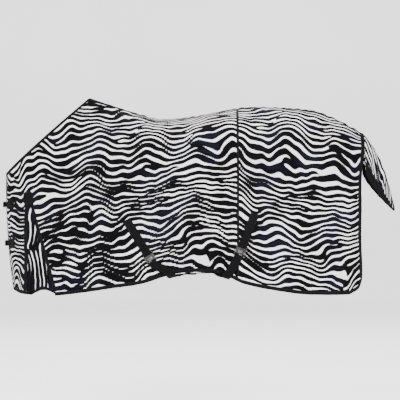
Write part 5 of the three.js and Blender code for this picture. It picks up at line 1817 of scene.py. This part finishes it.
def webbing(
    name: str, path: StrapPath, width: float, thick: float, keep: object = None
) -> tuple[Piece, StrapPath]:
    """A strap of webbing with rolled selvedges.

    Args:
        name: name of the piece.
        path: the strap's middle line.
        width: width of the strap.
        thick: thickness of the strap.
        keep: function from quad middles to whether each stays, for a slot, or None.

    Returns:
        The piece and its refined path.
    """
    path = path.refined(3.0 * MM)
    out = path.outwards()
    side = (WEB_ACROSS * width)[None, :, None] * path.across[:, None, :]
    half = (WEB_THICK * thick / 2)[None, :, None] * out[:, None, :]
    outer = path.place[:, None, :] + side + half
    inner = path.place[:, None, :] + side - half
    run = arc_lengths(path.place)
    flat = np.stack(np.broadcast_arrays(run[:, None], (WEB_ACROSS * width)[None, :] + width), -1)
    quads = None
    if keep is not None:
        quads = whole_grid(outer.shape)
        middles = path.place[:, None, :] + side
        quads = quads[keep(middles.reshape(-1, 3)[quads].mean(axis=1))]
    return grid_shell(name, outer, inner, flat, None, quads), path


def box_stitch(path: StrapPath, first: float, last: float, width: float, height: float,
               outward: Array) -> list[Array]:
    """Rows of a sewn box with a cross in it, on the outer face of a strap.

    Args:
        path: the strap's refined path.
        first: distance of the box's start from the strap's end.
        last: distance of the box's end from the strap's end.
        width: width of the box.
        height: height of the rows over the strap's middle.
        outward: direction that the sewn face looks, roughly.

    Returns:
        Polylines of the rows.
    """
    run = arc_lengths(path.place)
    out = path.outwards()
    sign = np.sign((out[-1] * outward).sum())

    def at(distance: Array, across: Array) -> Array:
        where = run[-1] - distance
        place = np.stack([np.interp(where, run, c) for c in path.place.T], axis=-1)
        side = np.stack([np.interp(where, run, c) for c in path.across.T], axis=-1)
        face = np.stack([np.interp(where, run, c) for c in out.T], axis=-1)
        return place + side * across[..., None] + face * sign * height

    half = width / 2
    corners = [(first, -half), (last, -half), (last, half), (first, half), (first, -half),
               (last, half)]
    corners_back = [(last, -half), (first, half)]
    rows = []
    for chain in (corners, corners_back):
        chain = np.array(chain)
        steps = np.linspace(0, len(chain) - 1, 24 * (len(chain) - 1) + 1)
        distance = np.interp(steps, np.arange(len(chain)), chain[:, 0])
        across = np.interp(steps, np.arange(len(chain)), chain[:, 1])
        rows.append(at(distance, across))
    return rows


@dataclass
class Surcingles:
    """Two crossing surcingles with their anchor straps on the near side."""

    shop: Workshop
    stitching: Stitching
    width: float = 0.045
    thick: float = 1.8 * MM
    cloth: float = 2.0 * MM
    strap_gap: float = 2.2 * MM
    over_cloth: float = 3.1 * MM
    tape: float = 1.2 * MM
    lay_gap: float = 1.1 * MM
    bar_r: float = 1.6 * MM
    sewn_in: float = 1.6 * MM
    bar_gap: float = 0.4 * MM
    ply_pitch: float = 2.3 * MM
    plate_bar: float = -0.015
    ply_tail: float = 0.030
    hook_bar: float = 0.032
    adjuster_share: float = 0.27

    @property
    def loop_r(self) -> float:
        """Radius of the webbing's middle round a bar."""
        return self.bar_r + self.bar_gap + self.thick / 2

    @property
    def hem_room(self) -> float:
        """Room for a wide strap to cross the folded hem at a slant."""
        return 0.05 * self.width + 0.12 * BINDING_WIDTH

    @property
    def strap_offset(self) -> float:
        """Offset of a strap's middle that lies on the cloth."""
        return self.cloth + self.strap_gap + self.thick / 2

    def surface(self, s: Array, v: Array, side: Side, offset: Array) -> Array:
        """Point of the cloth without its folds."""
        return self.shop.skin(s, v, side, offset, folded=False)

    def placing(self, end: str) -> Placing:
        """Frame of the near slot plate and hook."""
        form, places = self.shop.form, self.shop.places
        x, z = places.plates[end]
        top_x, top_z = places.tops[end]
        s, v = form.place_on_side(x, z)
        base = self.surface(s, v, Side.NEAR, self.cloth + self.strap_gap)
        out = unit(self.surface(s, v, Side.NEAR, self.cloth + self.strap_gap + MM) - base)
        along = unit(np.array([x - top_x, 0, z - top_z]))
        along = unit(along - out * along.dot(out))
        across = unit(np.cross(out, along))
        origin = base + out * (self.thick + self.bar_gap + self.bar_r)
        return Placing(origin, along, across, out)

    def on_cloth(self, side: Side, start: tuple, stop: tuple, count: int, first: float,
                 last: float) -> tuple[Array, Array]:
        """Places and outward directions along a straight line in side view."""
        t = np.linspace(0, 1, count)
        x, z = lerp(start[0], stop[0], t), lerp(start[1], stop[1], t)
        offset = lerp(first, last, t)
        s, v = self.shop.form.place_on_side(x, z)
        place = self.surface(s, v, side, offset)
        return place, self.surface(s, v, side, offset + MM) - place

    def smooth(self, places: Array, normals: Array, steps: int,
               turned: float) -> tuple[Array, Array, Array]:
        """Smooth path with its directions across and out."""
        t = np.linspace(0, 1, steps + 1)
        step = 1e-4
        ahead = catmull_rom(places, np.minimum(t + step, 1))
        along = unit(ahead - catmull_rom(places, np.maximum(t - step, 0)))
        across = unit(np.cross(catmull_rom(normals / MM, t), along))
        out = unit(np.cross(along, across))
        return catmull_rom(places, t), across * turned, out

    def anchor(self, end: str, frame: Placing) -> Piece:
        """Near anchor strap, folded round the slot plate's bar and sewn at its top."""
        top = self.shop.places.tops[end]
        tail = self.plate_bar - self.ply_tail
        outer = frame.point(np.array([tail, self.plate_bar - 0.012, self.plate_bar - 0.004]), 0.0,
                            np.array([self.ply_pitch - self.loop_r, self.ply_pitch - self.loop_r,
                                      self.loop_r]))
        inner = frame.point(self.plate_bar + np.array([-0.004, -0.012, -self.ply_tail]), 0.0,
                            -self.loop_r)
        start = frame.point(tail - 0.010, 0.0, -self.loop_r)
        places, normals = self.on_cloth(Side.NEAR, (start[0], start[2]), top, 6,
                                        self.strap_offset, self.strap_offset - self.sewn_in)
        up = self.smooth(places, normals, 70, -1)
        fold = round_bar(frame, self.loop_r, self.plate_bar, -1)
        path = StrapPath.joined((outer, frame.across), fold, (inner, frame.across), up[:2])
        piece, path = webbing(f"{end}_anchor_webbing", path, self.width, self.thick)
        self.shop.dress(piece, self.shop.finishes.webbing, f"{end}_anchor_strap")
        self.sew(path, Side.NEAR)
        return piece

    def sew(self, path: StrapPath, side: Side) -> None:
        """Sewn box at the end of a strap."""
        outward = np.array([0.0, side.value, 0.0])
        height = self.thick / 2 + STITCH_RISE
        for row in box_stitch(path, 0.006, 0.052, self.width - 0.010, height, outward):
            self.stitching.row("sheet", row, side)

    def under_hem(self, end: str, side: Side) -> tuple[Array, Array]:
        """Control point of a belly strap just under the hem."""
        places = self.shop.places
        x = lerp(places.hem_passes[end], places.belly_ends[end], 0.4)
        place = self.shop.form.underside(self.shop.form.station_of(x), 1.0)
        place[2] -= self.lay_gap + self.tape + self.strap_gap + 2 * self.thick + self.hem_room
        place[1] = side.value * (place[1] + 2 * self.thick)
        return place[None], np.array([[0, 0.6 * side.value, -0.8]]) * MM

    def belly_path(self, frame: Placing, start: str, stop: str) -> tuple[Array, Array, Array]:
        """Path of a belly strap from its hook to its sewn end on the off side."""
        form, places = self.shop.form, self.shop.places
        over_hem = self.over_cloth + self.tape + 2 * self.strap_gap + self.thick
        lifted = over_hem + self.hem_room / 2

        def hem(end: str) -> tuple[float, float]:
            x = places.hem_passes[end]
            return x, float(form.underside(form.station_of(x), 1.0)[2]) + BINDING_WIDTH

        leave = frame.point(self.hook_bar + 0.016, 0.0, -self.loop_r)[None]
        t = np.linspace(0, 1, 7)
        line = np.stack([
            lerp(places.belly_ends[start], places.belly_ends[stop], t),
            lerp(-places.belly_half, places.belly_half, t),
            0 * t + places.belly_z[start],
        ], axis=1)
        down = np.broadcast_to(np.array([0, 0, -1.0]) * MM, line.shape)
        near = self.on_cloth(Side.NEAR, hem(start), hem(start), 2, lifted, lifted)
        off = self.on_cloth(Side.OFF, hem(stop), places.plates[stop], 4, lifted, over_hem)
        up = self.on_cloth(Side.OFF, places.plates[stop], places.tops[stop], 5, over_hem,
                           self.strap_offset - self.sewn_in)
        parts = [
            (leave, frame.out[None] * MM), (near[0][:1], near[1][:1]), self.under_hem(start, Side.NEAR),
            (line, down), self.under_hem(stop, Side.OFF), off, (up[0][1:], up[1][1:]),
        ]
        controls = np.concatenate([p for p, _ in parts])
        normals = np.concatenate([n for _, n in parts])
        return self.smooth(controls, normals, 420, 1)

    def belly(self, start: str, stop: str, frame: Placing) -> Piece:
        """Belly strap, folded round the hook's bar, its free ply ending under the adjuster."""
        places = self.shop.places
        place, across, out = self.belly_path(frame, start, stop)
        adjuster_y = lerp(-places.belly_half, places.belly_half, self.adjuster_share)
        free = place[:, 1] < adjuster_y
        outer = (place[free] + out[free] * self.ply_pitch)[::-1]
        turned = frame.point(self.hook_bar + 0.005, 0.0, self.loop_r)
        inner = frame.point(self.hook_bar + 0.005, 0.0, -self.loop_r)
        path = StrapPath.joined(
            (outer, across[free][::-1]), (turned, frame.across),
            round_bar(frame, self.loop_r, self.hook_bar, 1), (inner, frame.across), (place, across),
        )
        piece, path = webbing(f"{start}_belly_webbing", path, self.width, self.thick)
        self.shop.dress(piece, self.shop.finishes.webbing, f"{start}_belly_strap")
        self.sew(path, Side.OFF)
        return piece

    def build(self) -> list[Piece]:
        """Builds both surcingles' webbing."""
        made = []
        for start, stop in (("front", "rear"), ("rear", "front")):
            frame = self.placing(start)
            made += [self.anchor(start, frame), self.belly(start, stop, frame)]
        return made


@dataclass
class ChestStraps:
    """Chest billets, chapes and patches of the two buckles."""

    shop: Workshop
    stitching: Stitching
    heights: dict = field(default_factory=lambda: {"upper": -0.441, "lower": -0.641})
    width: float = 0.025
    thick: float = 1.6 * MM
    heel_r: float = 1.9 * MM
    bar_gap: float = 0.4 * MM
    pitch: float = 2.1 * MM
    reach: float = 0.024
    frame_thick: float = 3.5 * MM
    stands_off: float = 9.3 * MM
    straight: float = 0.046
    tip: float = 0.062
    tongue_room: float = 6.0 * MM
    patch_first: float = 0.15
    patch_last: float = 0.30
    patch_height: float = 0.052

    @property
    def loop_r(self) -> float:
        """Radius of the chape's middle round the heel bar."""
        return self.heel_r + self.bar_gap + self.thick / 2

    def placing(self, z: float) -> Placing:
        """Frame of a buckle, at the middle of its heel bar."""
        form = self.shop.form
        nose = form.underside(0.0, form.row_at(0.0, z))
        origin = np.array([nose[0] - self.stands_off, 0, z])
        return Placing(origin, np.array([0, -1.0, 0]), np.array([0, 0, 1.0]), np.array([-1.0, 0, 0]))

    def sewn_end(self, z: float, side: Side) -> tuple[Array, Array]:
        """Places of a sewn strap end on its patch, from the centre outwards."""
        s = np.linspace(0.18, 0.28, 12)
        offset = lerp(6.4 * MM, 5.4 * MM, smoothstep(s, 0.2, 0.25))

        def at(height: float) -> Array:
            v = self.shop.form.row_at(s, height)
            return self.shop.skin(s, v, side, offset, folded=False)

        return at(z), unit(at(z + self.width / 2) - at(z - self.width / 2))

    def slotted(self, frame: Placing, first: float, last: float) -> object:
        """Test that keeps the quads outside the tongue's slot."""
        def keep(middles: Array) -> Array:
            away = middles - frame.origin
            along, across = away @ frame.along, away @ frame.across
            inside = (along > first) & (along < last) & (np.abs(across) < self.tongue_room / 2)
            return ~inside
        return keep

    def chape(self, word: str, z: float, frame: Placing) -> None:
        """Chape: folded round the heel bar and sewn to the near patch."""
        inner = self.loop_r - self.pitch
        upper = frame.point(np.array([self.straight, 0.012, 0.003]), 0.0, self.loop_r)
        lower = frame.point(np.array([0.003, 0.012, self.straight]), 0.0,
                            np.array([-self.loop_r, inner, inner]))
        path = StrapPath.joined((upper, frame.across), round_bar(frame, self.loop_r, 0.0, 1),
                                (lower, frame.across), self.sewn_end(z, Side.NEAR))
        keep = self.slotted(frame, -2 * self.loop_r, 0.006)
        self.strap(f"{word}_chape_webbing", path, keep, f"{word}_chest_chape", Side.NEAR)

    def billet(self, word: str, z: float, frame: Placing) -> None:
        """Billet: sewn to the off patch, through the buckle and on through the keeper."""
        under = -self.frame_thick / 2 - self.bar_gap - self.thick
        over = self.loop_r + self.pitch
        start, across = self.sewn_end(z, Side.OFF)
        free = frame.point(
            np.array([-0.038, 0.002 - self.reach, -0.015, -0.006, 0, 0.008, self.tip]), 0.0,
            np.array([under, under, under + 2.4 * MM, over - MM, over, over, over]),
        )
        path = StrapPath.joined((start[::-1], across[::-1]), (free, frame.across))
        keep = self.slotted(frame, 0.003 - self.reach, 0.0055)
        self.strap(f"{word}_billet_webbing", path, keep, f"{word}_chest_billet", Side.OFF)

    def strap(self, name: str, path: StrapPath, keep: object, node: str, side: Side) -> None:
        """Makes, dresses and sews one strap."""
        piece, path = webbing(name, path, self.width, self.thick, keep)
        self.shop.dress(piece, self.shop.finishes.webbing, node)
        sewn = path if side is Side.NEAR else StrapPath(path.place[::-1], path.across[::-1])
        outward = np.array([-0.7, 0.7 * side.value, 0])
        height = self.thick / 2 + STITCH_RISE
        for row in box_stitch(sewn, 0.004, 0.028, self.width - 0.008, height, outward):
            self.stitching.row("sheet", row, side)

    def patch(self, word: str, z: float, side: Side) -> Piece:
        """Rounded backing patch under a sewn strap end."""
        shop = self.shop
        u, w = rounded_grid(19, 4.0)
        s = lerp(self.patch_first, self.patch_last, (u + 1) / 2)
        height = z + w * self.patch_height / 2
        v = shop.form.row_at(s, height)
        edge = np.clip(np.maximum(np.abs(u), np.abs(w)), 0, 1) ** 8
        outer = shop.skin(s, v, side, LAYERS.tape_high + 0.4 * MM * (1 - edge))
        inner = shop.skin(s, v, side, LAYERS.tape_low)
        flat = np.stack([s * shop.flat.chest_run, height], axis=-1)
        piece = grid_shell(f"{word}_patch_{side.word}", outer, inner, flat)
        shop.dress(piece, shop.finishes.patch, f"{word}_chest_patch_{side.word}")
        lines = (outer[:, 0], outer[-1, 1:], outer[-2::-1, -1], outer[0, -2::-1])
        ring = np.concatenate(lines)
        ring = lerp(outer.mean(axis=(0, 1)), ring, 0.88)
        lifted = ring + unit(outer - inner).mean(axis=(0, 1)) * 1.1 * MM
        self.stitching.row("sheet", lifted, side)
        return piece

    def build(self) -> list[Piece]:
        """Builds both chest fastenings; returns the patches."""
        patches = []
        for word, z in self.heights.items():
            frame = self.placing(z)
            self.chape(word, z, frame)
            self.billet(word, z, frame)
            patches += [self.patch(word, z, side) for side in Side]
        return patches


# ---------------------------------------------------------------- fittings


@dataclass
class Fittings:
    """Cast metal fittings and moulded keepers, each with its edges rounded over."""

    shop: Workshop
    metal_edge: float = 0.55 * MM
    tongue_edge: float = 0.4 * MM
    plastic_edge: float = 0.6 * MM

    def build(self) -> None:
        """Builds every fitting from its node's solid, on the body that it moves with."""
        metal, plastic = self.shop.finishes.metal, self.shop.finishes.plastic
        kinds = {
            ("front", "rear"): (("slot_plate", True, metal, self.metal_edge),
                                ("surcingle_hook", False, metal, self.metal_edge),
                                ("adjuster", False, metal, self.metal_edge)),
            ("upper", "lower"): (("buckle_frame", True, metal, self.metal_edge),
                                 ("buckle_tongue", False, metal, self.tongue_edge),
                                 ("strap_keeper", False, plastic, self.plastic_edge)),
        }
        for words, fittings in kinds.items():
            for word in words:
                for kind, fixed, finish, edge in fittings:
                    node = f"{word}_{kind}"
                    self.rounded(node, "sheet" if fixed else node, finish, edge)

    def rounded(self, node: str, body: str, finish: tuple[Material, Slot],
                edge: float) -> Piece:
        """A fitting with rounded edges.

        Args:
            node: CAD node that gives the shape.
            body: body that the fitting rides on.
            finish: material of the fitting and its slot.
            edge: width of the rounding.

        Returns:
            The dressed object.
        """
        mesh = bpy.data.meshes.new(f"{node}_cast")
        cut = bmesh.new()
        cut.from_mesh(frame["nodes"][node].data)
        bmesh.ops.remove_doubles(cut, verts=cut.verts, dist=0.02 * MM)
        bmesh.ops.dissolve_limit(cut, angle_limit=math.radians(1.0), verts=cut.verts,
                                 edges=cut.edges)
        bmesh.ops.recalc_face_normals(cut, faces=cut.faces)
        cut.to_mesh(mesh)
        cut.free()
        mesh.materials.clear()
        raw = linked("raw_casting", mesh)
        bevel = raw.modifiers.new("rounding", "BEVEL")
        settings = {"width": edge, "segments": 3, "limit_method": "ANGLE",
                    "angle_limit": math.radians(32), "harden_normals": True}
        for key, value in settings.items():
            setattr(bevel, key, value)
        finished = applied(raw)
        finished.polygons.foreach_set("use_smooth", np.full(len(finished.polygons), True))
        piece = linked(f"{node}_cast", finished)
        return self.shop.dress(piece, finish, node, body=body)


# ---------------------------------------------------------------- studio


@dataclass
class Studio:
    """Pale floor and backdrop, soft lights and the camera."""

    centre: tuple = (0.204, 0.0, -0.418)
    distance: float = 12.0
    view_width: float = 2.08
    floor_z: float = -1.50
    paper_glow: float = 0.9
    room_light: float = 0.75
    lights: tuple = (
        ("key", (-2.6, -5.2, 3.4), 4.0, 620.0),
        ("fill", (3.6, -4.6, 1.2), 3.6, 380.0),
        ("top", (0.3, 0.4, 4.2), 3.6, 330.0),
        ("back", (0.6, 6.2, 4.6), 4.0, 420.0),
    )

    def build(self) -> None:
        """Builds the floor, the lights, the world and the camera."""
        self.backdrop()
        for name, place, size, power in self.lights:
            lamp = bpy.data.lights.new(name, "AREA")
            lamp.size = size
            lamp.energy = power
            self.put(name, lamp, place)
        world = bpy.data.worlds.new("soft_room")
        world.use_nodes = True
        background = world.node_tree.nodes["Background"]
        background.inputs["Color"].default_value = (1, 1, 1, 1)
        background.inputs["Strength"].default_value = self.room_light
        bpy.context.scene.world = world
        camera = bpy.data.cameras.new("side_view")
        camera.sensor_width = 36
        camera.lens = camera.sensor_width * self.distance / self.view_width
        camera.clip_end = 60
        x, y, z = self.centre
        bpy.context.scene.camera = self.put("side_view", camera, (x, y - self.distance, z))

    def put(self, name: str, data: bpy.types.ID, place: tuple) -> Piece:
        """Adds a lamp or camera that looks at the sheet's middle."""
        item = linked(name, data)
        item.location = place
        look = Vector(self.centre) - Vector(place)
        item.rotation_euler = look.to_track_quat("-Z", "Y").to_euler()
        return item

    def backdrop(self) -> None:
        """Floor that curves up behind into a wall."""
        reach, bend, top = 17.0, 3.0, 12.0
        turn = np.linspace(0, np.pi / 2, 17)
        floor = [(-reach, 0.0)]
        curve = [(reach - bend + bend * math.sin(a), bend - bend * math.cos(a)) for a in turn]
        line = np.array(floor + curve + [(reach, top)])
        x = np.array([-reach, reach])
        points = np.stack([
            np.repeat(x, len(line)), np.tile(line[:, 0], 2), np.tile(line[:, 1], 2) + self.floor_z,
        ], axis=1)
        index = np.arange(len(points)).reshape(2, len(line))
        piece = mesh_object("studio_floor", points, grid_quads(index))
        material, nodes, shader = new_material("pale_paper")
        place = nodes.place()
        tone = nodes.ramp(nodes.noise(place, 0.8, 2.0), 0.3, 0.7, 0.90, 0.94)
        nodes.fill(shader, {"Base Color": tone, "Roughness": 0.95, "Specular IOR Level": 0.0,
                            "Emission Color": (1, 1, 1, 1), "Emission Strength": self.paper_glow})
        behind = nodes.add("ShaderNodeNewGeometry").outputs["Backfacing"]
        clear = nodes.add("ShaderNodeBsdfTransparent").outputs[0]
        seen = nodes.add("ShaderNodeMixShader", {0: behind, 1: shader.outputs[0], 2: clear})
        nodes.fill(nodes.tree.nodes["Material Output"], {"Surface": seen.outputs[0]})
        piece.data.materials.append(material)


# ---------------------------------------------------------------- assembly


def bind_stitches(stitching: Stitching, flap: TailFlap) -> None:
    """Lays the stitches and puts each piece of them on its body; the tail flap's have their transform
    baked instead.
    """
    for (body, side), piece in stitching.build().items():
        if body == "tail_flap":
            flap.bend(piece)
        else:
            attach(piece, body)


def declare(cloths: list[SheetCloth], trims: dict[str, list[Piece]]) -> None:
    """Logs every sheet of cloth with the size it was cut to."""
    for cloth in cloths:
        name = cloth.piece.name
        word = "near" if name.endswith("near") else "off"
        kind = name.split("_")[0]
        sewn = cloth.trims or trims.get(f"{kind}_{word}", [])
        if name == "front_panel_cloth_near":
            sewn = sewn + trims.get("spine", [])
        width, length = cloth.flat
        log.info("%s: cut %.3f x %.3f m, %.3f m2", name, width, length, cloth.area)


def main() -> None:
    """Builds the fly sheet, sub-assembly by sub-assembly."""
    logging.basicConfig(level=logging.INFO, format="%(name)s: %(message)s")
    shop = Workshop()
    stitching = Stitching(shop.finishes.thread)
    gusset = Gusset(shop.form)
    Studio().build()
    cloths = ClothPanels(shop, gusset).build()
    trims = Bindings(shop, gusset, stitching).build()
    flap = TailFlap(shop, stitching)
    cloths.append(flap.build())
    Surcingles(shop, stitching).build()
    ChestStraps(shop, stitching).build()
    Fittings(shop).build()
    bind_stitches(stitching, flap)
    declare(cloths, trims)


if __name__ == "__main__":
    main()
